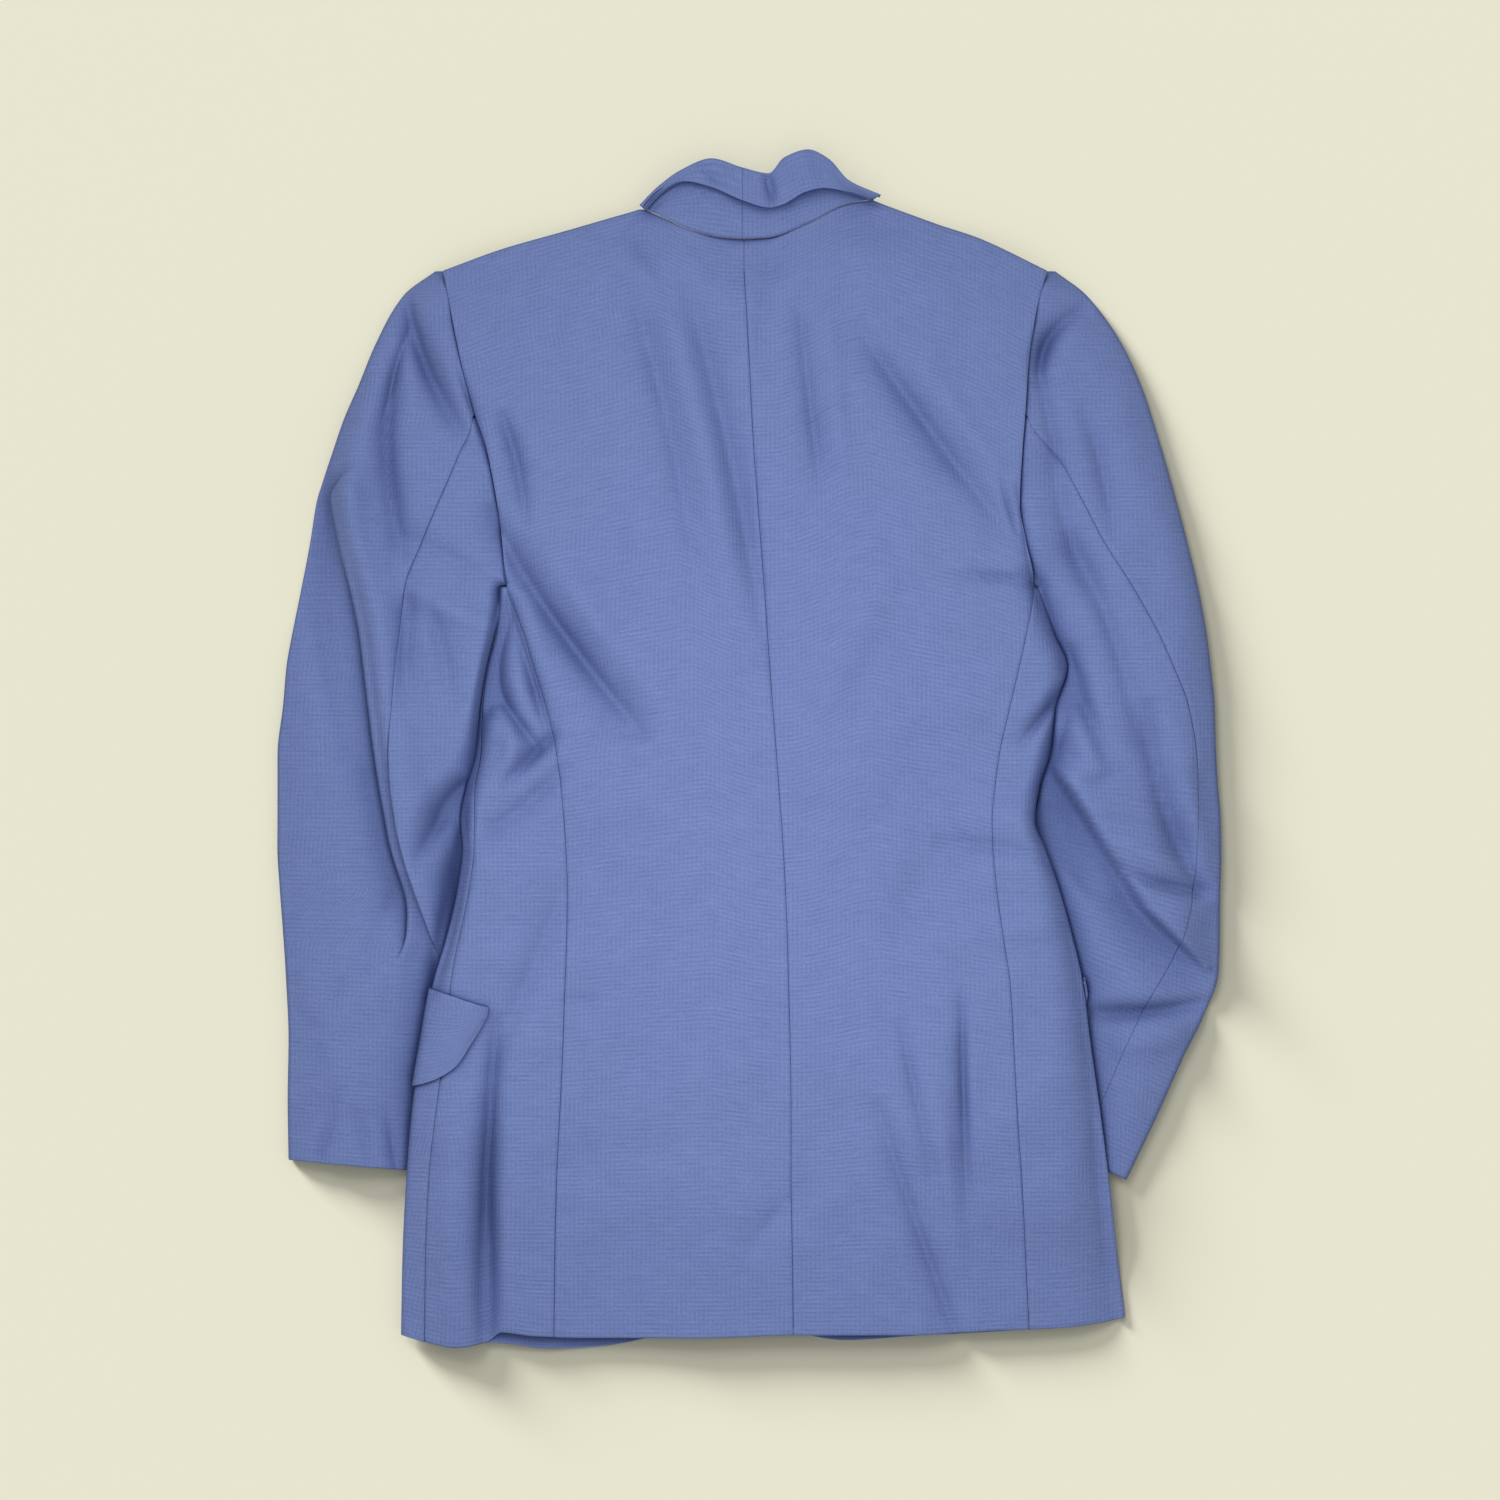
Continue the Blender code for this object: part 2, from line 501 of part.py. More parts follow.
# The back comes down at the shoulder, to close against the front: distance behind the shoulder
# line of each row in the rounding, and its share of the drop
SHOULDER_ROUND = table("behind share", (0, 1.0), (1.3, 0.45), (4.2, 0.08))
SHOULDER_DROP = LAID - WALL - LAYER
NECK_EASE = 14.0  # length from the neck over which the drop sets in
NECK_STRETCH = (-60, SHOULDER_LEVEL)  # levels over which the rows spread up to the neck


def back_panel(side):
    """Back half: shoulder and neck seam above, centre back seam, armhole and princess seam, hem."""
    neck = np.linspace(0, 1, BACK_NECK_COLUMNS + 1)
    shoulder = np.linspace(0, 1, BACK_SHOULDER_COLUMNS + 1)
    inwards = 1 if side == "l" else -1
    if side == "l":
        top = np.concatenate([along(SHOULDER_L, shoulder)[:-1], along(NECK_L, neck)])
    else:
        top = np.concatenate([along(NECK_R, neck), along(SHOULDER_R, shoulder)[1:]])
    seam = column(BODY, "seam_" + side, LEVELS) + inwards * GAP / 2
    outer = np.stack([seam, follow_hem(seam, LEVELS, HEM_BACK)], axis=-1)
    neck_level = NECK_L["y"][-1]
    above = ramp(LEVELS, *NECK_STRETCH) * (neck_level - SHOULDER_LEVEL)
    middle = column(BODY, "centre", LEVELS + above) - inwards * GAP / 2
    centre = np.stack([middle, follow_hem(middle, LEVELS + above, HEM_BACK)], axis=-1)
    left, right = (outer, centre) if side == "l" else (centre, outer)
    top[0], top[-1] = left[0], right[0]
    share = np.concatenate([[0], np.cumsum(np.linalg.norm(np.diff(top, axis=0), axis=1))])
    bottom = left[-1] + (share / share[-1])[:, None] * (right[-1] - left[-1])
    bottom[:, 1] = column(HEM_BACK, "y", bottom[:, 0], "x")
    flat = coons(left, right, top, bottom)
    step = flat[1] - flat[0]
    step = step / np.linalg.norm(step, axis=1, keepdims=True)
    rounding = flat[0] + step * SHOULDER_ROUND["behind"][:, None, None]
    flat = np.concatenate([rounding, flat[1:]])
    z = top_face(flat[..., 0], flat[..., 1])
    neck_column = BACK_SHOULDER_COLUMNS if side == "l" else BACK_NECK_COLUMNS
    drop = SHOULDER_DROP * ramp(np.linalg.norm(top - top[neck_column], axis=1), 0, NECK_EASE)
    if side == "l":
        drop[neck_column:] = 0
    else:
        drop[:neck_column + 1] = 0
    z[:len(rounding)] -= drop * SHOULDER_ROUND["share"][:, None]
    panel("back_left" if side == "l" else "back_right", np.dstack([flat, z]))


SIDE_COLUMNS = {"l": 10, "r": 16}
FIRST_CELL = 0.5
BEND_GAP = 0.6  # more room at a seam in the bend, where the walls lean towards each other
FRONT_TURN_R = -12.0  # the right front meets the side panel on the floor side


def side_panel(side):
    """Side panel: from the front's seam, round the side, to the princess seam."""
    rows = []
    for level in LEVELS[UNDERARM_ROW:]:
        seam = column(BODY, "seam_" + side, level)
        if side == "l":
            turn = float(column(BODY, "turn_l", level))
            start = turn + GAP / 2 + BEND_GAP * float(ramp(turn, ARC + LAID / 2, ARC))
            end = float(turn_at(side, level, seam)) - GAP / 2
        else:
            start = FRONT_TURN_R + GAP / 2
            end = float(turn_at(side, level, seam)) - GAP / 2
        turns = spaced(start, end, SIDE_COLUMNS[side])
        x, z = tube_point(side, level, turns)
        row = np.stack([x, follow_hem(x, level, HEM_BACK), z], axis=-1)
        rows.append(row if side == "l" else row[::-1])
    panel("side_panel_left" if side == "l" else "side_panel_right", np.array(rows))


def spaced(start, end, count):
    """Turns from start to end: a short first cell, then the bend's own, then even ones.

    The short cell keeps the wall at a seam in the bend square to the bend.
    """
    first = start + FIRST_CELL
    bend = [t for t in np.linspace(-ARC, ARC, 9) if first + 0.6 < t < end - 1]
    begin = bend[-1] if bend else first
    even = count - len(bend) - 1
    return np.array([start, first, *bend, *np.linspace(begin, end, even + 1)[1:]])


# Columns of the fronts, as shares of the way from the front edge to the side
FRONT_SHARES = {
    "l": np.array([0, 0.11, 0.22, 0.33, 0.44, 0.53, 0.595, 0.655, 0.715, 0.775, 0.835, 0.9, 1]),
    "r": np.array([0, 0.11, 0.2, 0.28, 0.36, 0.44, 0.52, 0.6, 0.68, 0.76, 0.84, 0.92, 1]),
}


def front_panel(side):
    """Front: shoulder seam, roll line and front edge, armhole and side, with the hem cut away.

    Its columns run from the front edge along the floor side; the left one then turns up round
    the side to its seam on the upper side.
    """
    inwards = 1 if side == "l" else -1
    name = "front_left" if side == "l" else "front_right"
    hem = HEM_FRONT_L if side == "l" else HEM_FRONT_R
    neck = SHOULDER_L if side == "l" else SHOULDER_R
    neck_point = np.array([neck["x"][-1], neck["y"][-1]] if side == "l"
                          else [neck["x"][0], neck["y"][0]])
    above = np.arange(len(LEVELS)) < UNDERARM_ROW
    seam = column(BODY, "seam_" + side, LEVELS) + inwards * GAP / 2
    turns = np.full(len(LEVELS), -ARC) if side == "l" else np.full(len(LEVELS), FRONT_TURN_R - GAP / 2)
    at_side = np.array([tube_point(side, level, turn)[0] for level, turn in zip(LEVELS, turns)])
    outer_x = np.where(above, seam, at_side)
    outer = np.stack([outer_x, follow_hem(outer_x, LEVELS, hem)], axis=-1)
    edge_low = hem["y"][-1] if side == "l" else hem["y"][0]
    edge_levels = np.interp(LEVELS, [HEM_LEVEL, SHOULDER_LEVEL], [edge_low, neck_point[1]])
    inner = np.stack([roll_line(side, edge_levels), edge_levels], axis=-1)
    shares = FRONT_SHARES[side]
    top = along(neck, 1 - shares if side == "l" else shares)
    bottom_x = inner[-1, 0] + shares * (outer[-1, 0] - inner[-1, 0])
    bottom = np.stack([bottom_x, column(hem, "y", bottom_x, "x")], axis=-1)
    top[0], top[-1], bottom[0], bottom[-1] = inner[0], outer[0], inner[-1], outer[-1]
    if side == "l":
        flat = coons(inner, outer, top, bottom)
    else:
        flat = coons(inner, outer, top, bottom)[:, ::-1]
    z = under_face(side, flat[..., 0], flat[..., 1])
    grid = np.dstack([flat, z])
    if side == "r":
        panel(name, grid)
        return
    wrap = []
    for level in LEVELS:
        end = float(column(BODY, "turn_l", level)) - GAP / 2
        steps = np.concatenate([np.linspace(-ARC, 0, 4)[1:], np.linspace(0, end, 5)[1:]])
        x, z = tube_point(side, level, steps)
        wrap.append(np.stack([x, follow_hem(x, level, hem), z], axis=-1))
    grid = np.concatenate([grid, np.array(wrap)], axis=1)
    kept = np.ones((grid.shape[0] - 1, grid.shape[1] - 1), bool)
    kept[:UNDERARM_ROW, len(shares) - 1:] = False
    panel(name, grid, kept)


def sleeve_rows(side):
    """Columns of the sleeve's table at each of its rows, with the armhole for the inner edge above."""
    rows = SLEEVE_L if side == "l" else SLEEVE_R
    levels = SLEEVE_LEVELS_L if side == "l" else SLEEVE_LEVELS_R
    read = {name: column(rows, name, levels) for name in rows if name != "level"}
    above = np.arange(len(levels)) < UNDERARM_ROW
    inwards = 1 if side == "l" else -1
    armhole = column(BODY, "seam_" + side, levels) - inwards * GAP / 2
    read["inner"] = np.where(above, armhole, read["inner"] - inwards * GAP / 2)
    no_seam = np.arange(len(levels)) < SLEEVE_SEAM_ROW
    read["seam"] = np.where(no_seam, read["inner"] + inwards * GAP / 2, read["seam"])
    read["level"] = levels
    return read


def on_row(row, x):
    """Y of a point across a sleeve, on the slanted line of its row."""
    share = (x - row["outer"]) / (row["inner"] - row["outer"])
    return row["level"] + share * row["tilt"]


def sleeve_top(x, y, tall):
    """Height of a sleeve's upper face, with its soft folds and the step of the right elbow."""
    step = signed_distance(x, y, ELBOW_FOLD)
    beside = ramp(np.hypot(x - ELBOW_FOLD["x"][0], y - ELBOW_FOLD["y"][0]), *ELBOW_START)
    elbow = ELBOW_RISE * beside * ramp(step, -ELBOW_STEP, 0) * ramp(step, ELBOW_REACH, 0)
    return tall + (elbow + folds(SLEEVE_FOLDS, x, y)) * ramp(tall, *FULL_SLEEVE)


def upper_sleeve_right(row):
    """Columns of one row: from the back seam outwards on top, round the outer edge, and back."""
    tall, outer = row["tall"], row["outer"]
    radius = min(tall / 2, 0.45 * abs(outer - row["seam"]))
    x_top = np.linspace(row["seam"] + GAP / 2, outer - radius, 7)
    z_top = sleeve_top(x_top, on_row(row, x_top), tall)
    end = z_top[-1]
    angle = np.linspace(90, -90, 7)[1:] * math.pi / 180
    x_bend = outer - radius + radius * np.cos(angle)
    z_bend = end / 2 + end / 2 * np.sin(angle)
    floor_end = row["floor_end"]
    x_floor = np.linspace(outer - radius, floor_end, 5)[1:]
    x = np.concatenate([x_top, x_bend, x_floor])
    z = np.concatenate([z_top, z_bend, np.zeros(len(x_floor))])
    return np.stack([x, on_row(row, x), z], axis=-1)


NOSE = WALL + 0.6  # outer radius of the long fold's round nose
TUCK_GAP = 0.7  # between the lower layer and the tuck's own wall over it
TUCK_BACK = WALL + 1.2  # from the tuck's valley to where the upper layer may come down
SETTLE = 20.0  # length over which the upper layer comes down behind the tuck
SEAM_FLAT = 3.0  # the upper layer stays flat this far past the back seam


def tuck_end(row):
    """Where the left sleeve's upper layer, past its tuck and seam, starts to come down."""
    past_tuck = row["fold"] + NOSE + row["tuck"] + TUCK_BACK
    return past_tuck if past_tuck + 8 < row["seam"] else max(past_tuck, row["seam"] + SEAM_FLAT)


def over_tuck(row, x):
    """How much the left sleeve's upper layer is raised where it lies over the tuck of its fold."""
    end = tuck_end(row)
    return row["rise"] * (TUCK_GAP + 2 * NOSE) * ramp(x, end + SETTLE, end)


def upper_sleeve_left(row):
    """Columns of one row: along the floor outwards, round the outer edge, then the long fold.

    On top the lower layer runs inwards under the fold, turns back on itself in a narrow valley,
    and turns over the fold's round nose before it goes on to the back seam.
    """
    tall, outer, fold, rise, tuck = (row[k] for k in ("tall", "outer", "fold", "rise", "tuck"))
    seam = row["seam"] - GAP / 2
    radius = min(tall / 2, 0.45 * abs(outer - seam))
    x_floor = np.linspace(row["floor_end"], outer + radius, 5)
    angle = np.linspace(-90, 90, 7)[1:-1] * math.pi / 180
    x_bend = outer + radius - radius * np.cos(angle)
    z_bend = tall / 2 + tall / 2 * np.sin(angle)
    valley, half = NOSE + tuck, TUCK_GAP / 2
    spots = np.array([
        (valley, 0.0), (valley + half, half), (valley, TUCK_GAP),
        (NOSE + tuck * 0.4, TUCK_GAP), (NOSE * 0.3, TUCK_GAP + NOSE * 0.3), (0.0, TUCK_GAP + NOSE),
        (NOSE * 0.3, TUCK_GAP + NOSE * 1.7), (NOSE, TUCK_GAP + NOSE * 2),
    ])
    flat_x = outer + radius + (seam - outer - radius) * np.linspace(0.12, 0.7, len(spots))
    x_fold = (1 - rise) * flat_x + rise * (fold + spots[:, 0])
    x_strip = np.linspace(outer + radius, x_fold[0], 4)[:-1]
    even = np.linspace(x_fold[-1], seam, 5)[1:]
    x_rest = even if rise < 1 or tuck_end(row) > seam else np.linspace(tuck_end(row), seam, 4)
    x = np.concatenate([x_strip, x_fold, x_rest])
    y = on_row(row, x)
    plain = sleeve_top(x, y, tall)
    risen = np.concatenate([np.zeros(3), rise * spots[:, 1], over_tuck(row, x_rest)])
    z = plain + risen
    x = np.concatenate([x_floor, x_bend, x])
    z = np.concatenate([np.zeros(len(x_floor)), z_bend, z])
    return np.stack([x, on_row(row, x), z], axis=-1)


UNDER_TOP_COLUMNS = 5


def under_sleeve_row(side, row):
    """Columns of one row: along the top from the back seam to the inner edge, and round it."""
    inwards = 1 if side == "l" else -1
    tall, inner = row["tall"], row["inner"]
    radius = tall / 2
    seam = row["seam"] + inwards * GAP / 2
    armhole = row["index"] < UNDERARM_ROW
    x_end = inner if armhole else inner - inwards * radius
    x_top = np.linspace(seam, x_end, UNDER_TOP_COLUMNS + 1)
    if side == "l" and not armhole:
        first = max(tuck_end(row), seam + SEAM_FLAT)
        x_top = np.array([seam, *np.linspace(first, x_end, UNDER_TOP_COLUMNS)])
    z_top = sleeve_top(x_top, on_row(row, x_top), tall)
    if side == "l":
        z_top = z_top + over_tuck(row, x_top)
    angle = np.linspace(90, -90, 7)[1:] * math.pi / 180
    x_bend = inner - inwards * (radius - radius * np.cos(angle))
    z_bend = z_top[-1] / 2 * (1 + np.sin(angle))
    x_floor = np.array([row["floor_end"] + inwards * GAP])
    x = np.concatenate([x_top, x_bend, x_floor])
    z = np.concatenate([z_top, z_bend, [0.0]])
    return np.stack([x, on_row(row, x), z], axis=-1)


def sleeve(side):
    """Upper and under sleeve of one arm, from the armhole to the cuff."""
    read = sleeve_rows(side)
    inwards = 1 if side == "l" else -1
    upper, under = [], []
    for index in range(len(read["level"])):
        row = {name: values[index] for name, values in read.items()}
        row["index"] = index
        reach = row["tall"] / 2 + SLEEVE_TURN * float(ramp(index - UNDERARM_ROW, -1, 2))
        row["floor_end"] = (row["inner"] if index < UNDERARM_ROW
                            else row["inner"] - inwards * reach)
        upper.append(upper_sleeve_left(row) if side == "l" else upper_sleeve_right(row))
        if index >= SLEEVE_SEAM_ROW:
            under.append(under_sleeve_row(side, row))
    name = "left" if side == "l" else "right"
    upper, under = np.array(upper), np.array(under)
    if side == "r":
        under = under[:, ::-1]
    panel("sleeve_upper_" + name, upper, even=side == "r")
    kept = np.ones((under.shape[0] - 1, under.shape[1] - 1), bool)
    above = UNDERARM_ROW - SLEEVE_SEAM_ROW
    if side == "l":
        kept[:above, UNDER_TOP_COLUMNS:] = False
    else:
        kept[:above, :-UNDER_TOP_COLUMNS] = False
    panel("sleeve_under_" + name, under, kept)


CENTRE_SHARE = 0.42  # of the way along the neck where the centre back seam stands
COLLAR_RADIUS = WALL + 0.35  # outer radius of the fold between stand and fall
FALL_SPRING = 1.6  # how far the fall's lower edge stands up off the stand


def collar_half(side):
    """Stand and fall of one half, cut in one: up from the neck seam, over the fold, down the fall."""
    neck = NECK_L if side == "l" else NECK_R
    shares = np.linspace(0, 1, BACK_NECK_COLUMNS + 1)
    foot = along(neck, shares)
    if side == "l":
        where = shares * CENTRE_SHARE
    else:
        where = CENTRE_SHARE + shares * (1 - CENTRE_SHARE)
    top = np.stack([column(COLLAR_TOP, a, where, "share") for a in "xy"], axis=-1)
    fall = np.stack([column(COLLAR_FALL, a, where, "share") for a in "xy"], axis=-1)
    if side == "l":
        for edge in (foot, top, fall):
            edge[-1, 0] -= GAP / 2
    else:
        for edge in (foot, top, fall):
            edge[0, 0] += GAP / 2
    towards = top - foot
    height = np.linalg.norm(towards, axis=1)
    towards = towards / height[:, None]
    drop = np.linalg.norm(top - fall, axis=1)
    base = top_face(foot[:, 0], foot[:, 1]) + GAP
    low = base - WALL
    radius = COLLAR_RADIUS
    rows = []
    for share in np.linspace(0, 1, 5):
        reach = 2 * GAP + (height - radius - 2 * GAP) * share
        rows.append((reach, low))
    for angle in np.linspace(-90, 90, 7)[1:-1] * math.pi / 180:
        rows.append((height - radius + radius * math.cos(angle),
                     low + radius + radius * math.sin(angle)))
    for share in np.linspace(0, 1, 4):
        reach = height - radius - np.maximum(drop - radius, 1.0) * share
        rows.append((reach, low + 2 * radius + FALL_SPRING * share**2))
    grid = np.array([
        np.column_stack([foot + towards * reach[:, None], z]) for reach, z in rows
    ])
    panel("collar_left" if side == "l" else "collar_right", grid)


def lapel(side):
    """Lapel, turned out at the roll line and lying between its front and the floor."""
    rows = LAPEL_L if side == "l" else LAPEL_R
    inwards = 1 if side == "l" else -1
    levels = np.linspace(rows["level"][0], rows["level"][-1], 10)
    inner = roll_line(side, levels) - inwards
    shares = np.linspace(0, 1, 5)
    x = inner[:, None] - inwards * column(rows, "width", levels)[:, None] * shares
    y = np.repeat(levels[:, None], len(shares), axis=1)
    grid = np.dstack([x, y, np.zeros_like(x)])
    panel("lapel_left" if side == "l" else "lapel_right", grid[::-1] if side == "l" else grid)


def pocket_flap(side):
    """Hip pocket flap, made from the body's own points round the side, moved out by its wall."""
    rows = FLAP_L if side == "l" else FLAP_R
    low, high = sorted((rows["turn"][0], rows["turn"][-1]))
    turns = np.concatenate([np.linspace(low, -ARC, 9), np.linspace(-ARC, ARC, 6)[1:],
                            np.linspace(ARC, max(high, ARC), 6)[1:]])
    turns = np.unique(turns)
    turns = turns[(turns >= low) & (turns <= high)]
    top, bottom = column(rows, "top", turns, "turn"), column(rows, "bottom", turns, "turn")
    grid = []
    for share in np.linspace(0, 1, 6):
        levels = top + (bottom - top) * share
        points = []
        for turn, level in zip(turns, levels):
            x, z = tube_point(side, level, turn)
            nearby = [tube_point(side, level, turn + step) for step in (-0.2, 0.2)]
            dx, dz = np.array(nearby[1]) - np.array(nearby[0])
            away = np.array([-dz, dx]) / math.hypot(dx, dz)
            away = away if side == "l" else -away
            out = FLAP_WALL + FLAP_GAP + (FLAP_GAP_FLOOR - FLAP_GAP) * float(ramp(turn, 0, -30))
            points.append((x + away[0] * out, level, z + away[1] * out))
        grid.append(points)
    grid = np.array(grid)
    if side == "r":
        grid = grid[:, ::-1]
    panel("pocket_flap_left" if side == "l" else "pocket_flap_right", grid, wall=FLAP_WALL)


def button(name, level):
    """Plain round button under the fastened front."""
    mesh = bpy.data.meshes.new(name)
    shape = bmesh.new()
    bmesh.ops.create_cone(shape, cap_ends=True, segments=24, radius1=BUTTON_RADIUS * MM,
                          radius2=BUTTON_RADIUS * MM, depth=BUTTON_THICKNESS * MM)
    shape.to_mesh(mesh)
    shape.free()
    part = add_object(name, mesh, cloth_material(name, BUTTON_COLOUR, 0.35))
    centre = float(column(BODY, "centre", level))
    part.location = (centre * MM, level * MM, BUTTON_THICKNESS / 2 * MM)
    rounding = part.modifiers.new("Rounded rim", "BEVEL")
    rounding.width = 0.5 * MM
    rounding.segments = 1


def main():
    for old in list(bpy.data.objects):
        bpy.data.objects.remove(old, do_unlink=True)
    collection = bpy.data.collections.new(COLLECTION)
    bpy.context.scene.collection.children.link(collection)
    for side in ("l", "r"):
        back_panel(side)
        side_panel(side)
        front_panel(side)
        sleeve(side)
        collar_half(side)
        lapel(side)
        pocket_flap(side)
    for name, level in BUTTON_LEVELS.items():
        button(name, level)


main()
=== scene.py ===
import json
import math

import bpy
import numpy as np
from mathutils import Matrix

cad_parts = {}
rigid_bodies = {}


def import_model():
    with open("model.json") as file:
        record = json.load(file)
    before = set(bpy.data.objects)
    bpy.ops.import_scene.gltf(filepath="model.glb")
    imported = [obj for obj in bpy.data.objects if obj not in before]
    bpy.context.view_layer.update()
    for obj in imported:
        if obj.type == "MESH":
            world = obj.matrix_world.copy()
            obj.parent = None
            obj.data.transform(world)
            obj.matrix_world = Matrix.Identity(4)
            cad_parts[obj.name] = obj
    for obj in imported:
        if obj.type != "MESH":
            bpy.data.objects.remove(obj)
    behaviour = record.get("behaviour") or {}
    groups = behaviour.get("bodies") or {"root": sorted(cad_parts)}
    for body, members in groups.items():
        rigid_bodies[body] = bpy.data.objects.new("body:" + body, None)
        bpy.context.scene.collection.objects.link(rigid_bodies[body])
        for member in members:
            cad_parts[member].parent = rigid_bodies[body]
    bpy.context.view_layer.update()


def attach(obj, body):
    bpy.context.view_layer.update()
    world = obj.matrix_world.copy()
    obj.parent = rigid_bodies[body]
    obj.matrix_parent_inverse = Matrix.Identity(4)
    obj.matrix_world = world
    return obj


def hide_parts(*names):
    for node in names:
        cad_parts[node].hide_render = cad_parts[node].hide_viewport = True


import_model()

print("frame loaded")

# Sizes are in millimetres up to the point where a mesh is made. +X is the wearer's right, +Z up
mm = 0.001
clothWall = 1.5  # wool with its lining, a little thinner than the solids' wall
solidWall = 2.0
gap = 0.3  # between two layers
seamGap = 0.16  # between two pieces at a seam, which their rounded rims close
rimReach = 0.09  # how far a rounded rim stands out
layer = solidWall + gap
laid = 6.6  # a flattened tube of cloth, outer face to outer face
arc = math.pi / 4 * laid  # cloth from the outermost point of a side to where the tube turns flat
cell = 2.3  # width of a cell of the finer grids

shoulderLevel = 320.7
sleeveSeamLevel = 222.0
underarmLevel = 108.9
hemLevel = -393.0
hemStart = -300.0  # below this the rows bend towards the hem's own line
breakLevel = -25.0
overlap = 18.0
closureGap = 1.1

levels = np.concatenate([
    np.linspace(shoulderLevel, sleeveSeamLevel, 44)[:-1],
    np.linspace(sleeveSeamLevel, underarmLevel, 50)[:-1],
    np.linspace(underarmLevel, hemLevel + 4, 217)[:-1],
    hemLevel + np.array([4.0, 2.6, 1.5, 0.7, 0.0]),
])
inward = {"L": 1, "R": -1}  # direction along X from the wearer's left or right side to the middle
full = {"L": "left", "R": "right"}
neckLength = {"L": 70.0, "R": 94.0}  # of each half's neck seam, which sets its count of columns
hemTurn = np.array([0.0, 0.1, 0.25, 0.5, 0.8])  # how far the last rows of a hem or cuff turn down
underarmRow = int(np.argmin(np.abs(levels - underarmLevel)))
seamRow = int(np.argmin(np.abs(levels - sleeveSeamLevel)))


def table(columns, *rows):
    # rows of named columns, as one array for each column
    return dict(zip(columns.split(), np.array(rows, float).T))


# The body by level: armhole and then princess seam, centre back seam, and sides; turnL is how far
# round the left side the front reaches, lift how high a forearm beneath holds the body
bodyLines = table(
    "level seamL centre seamR sideL sideR turnL liftL liftR",
    (320.7, -205.3, -3.6, 199.4, -205.3, 199.4, 2, 0, 0),
    (290.5, -199.3, -1.8, 191.6, -199.3, 191.6, 2, 0, 0),
    (254.3, -191.9, 0.2, 186.6, -191.9, 186.6, 2, 0, 0),
    (226.2, -184.5, 1.5, 184.7, -184.5, 184.7, 2, 0, 0),
    (200.7, -175.9, 3, 182.7, -175.9, 182.7, 2, 0, 0),
    (165.9, -169.1, 5.5, 181, -169.1, 181, 2, 0, 0),
    (140.4, -165.8, 7.4, 184.9, -166.4, 185, 2, 0, 0),
    (108.9, -162.6, 9.8, 190.6, -167.5, 194.5, 2, 0, 0),
    (76.8, -151, 12.1, 185.2, -171.4, 205.2, 2, 0, 0),
    (56, -145, 13.6, 180.6, -176.5, 213.5, 2, 0, 0),
    (30.6, -136.9, 15.5, 174.7, -180.7, 206.1, 3, 0, 0),
    (-3.6, -128.8, 18.1, 167.2, -184.2, 201.6, 5.4, 0, 0),
    (-24, -126.2, 19.6, 164.4, -189.8, 195, 7.6, 0, 0.6),
    (-47.2, -124, 21.4, 162.2, -193.9, 191.4, 11.5, 1.2, 6.9),
    (-66, -122.7, 22.6, 162.8, -192.2, 198.2, 9.6, 6.9, 6.9),
    (-92, -121.9, 24, 165, -195.4, 207.3, 9.8, 8.2, 6.9),
    (-127.6, -122.2, 25.4, 169.8, -203.5, 217.2, 10.6, 8.6, 6.9),
    (-157.7, -123.2, 26.2, 174.1, -212.2, 223.8, 14.2, 7.4, 6.9),
    (-194.6, -124.4, 27.2, 176.3, -218.7, 228.4, 17.6, 6.9, 6.9),
    (-234.8, -126.2, 27.8, 178.3, -225.4, 234.1, 18.6, 6.9, 6.9),
    (-288.4, -128.9, 27.9, 182, -230.1, 241.3, 17.3, 6.9, 6.9),
    (-342, -130.2, 28.8, 184.9, -232.8, 247, 17.6, 4.6, 6.9),
    (-393, -130.9, 29.5, 187.3, -233.8, 252.3, 17.7, 3.4, 6.9),
)
# Inner edges of the forearms under the body, and the line of the right cuff
forearmLine = {
    "L": table(
        "level inner",
        (-41.8, -195.9), (-67.3, -189.9), (-100.8, -181.8), (-167.8, -180.5), (-234.8, -184.5),
        (-285.7, -186.5), (-393, -177.8),
    ),
    "R": table(
        "level inner",
        (-17, 198.7), (-48.5, 186.7), (-80.7, 182), (-124.2, 169.2), (-187.9, 150.5), (-237.4, 136.4),
    ),
}
cuffR = ((136.4, -237.4), (253.0, -288.4))
# Edges of the back
shoulderLine = {
    "L": table(
        "x y",
        (-205.3, 320.7), (-167.1, 334.7), (-126.9, 346.4), (-71.5, 362.4),
    ),
    "R": table(
        "x y",
        (83.5, 367.6), (127.7, 351.5), (153.2, 342.8), (199.4, 320.7),
    ),
}
neckLine = {
    "L": table(
        "x y",
        (-70.2, 361.6), (-56.5, 355.5), (-41.8, 348.5), (-19, 342.3), (-4.7, 341.2),
    ),
    "R": table(
        "x y",
        (-4.7, 341.2), (11.8, 342.1), (39.3, 351.8), (65.4, 364.9), (82, 368.3),
    ),
}
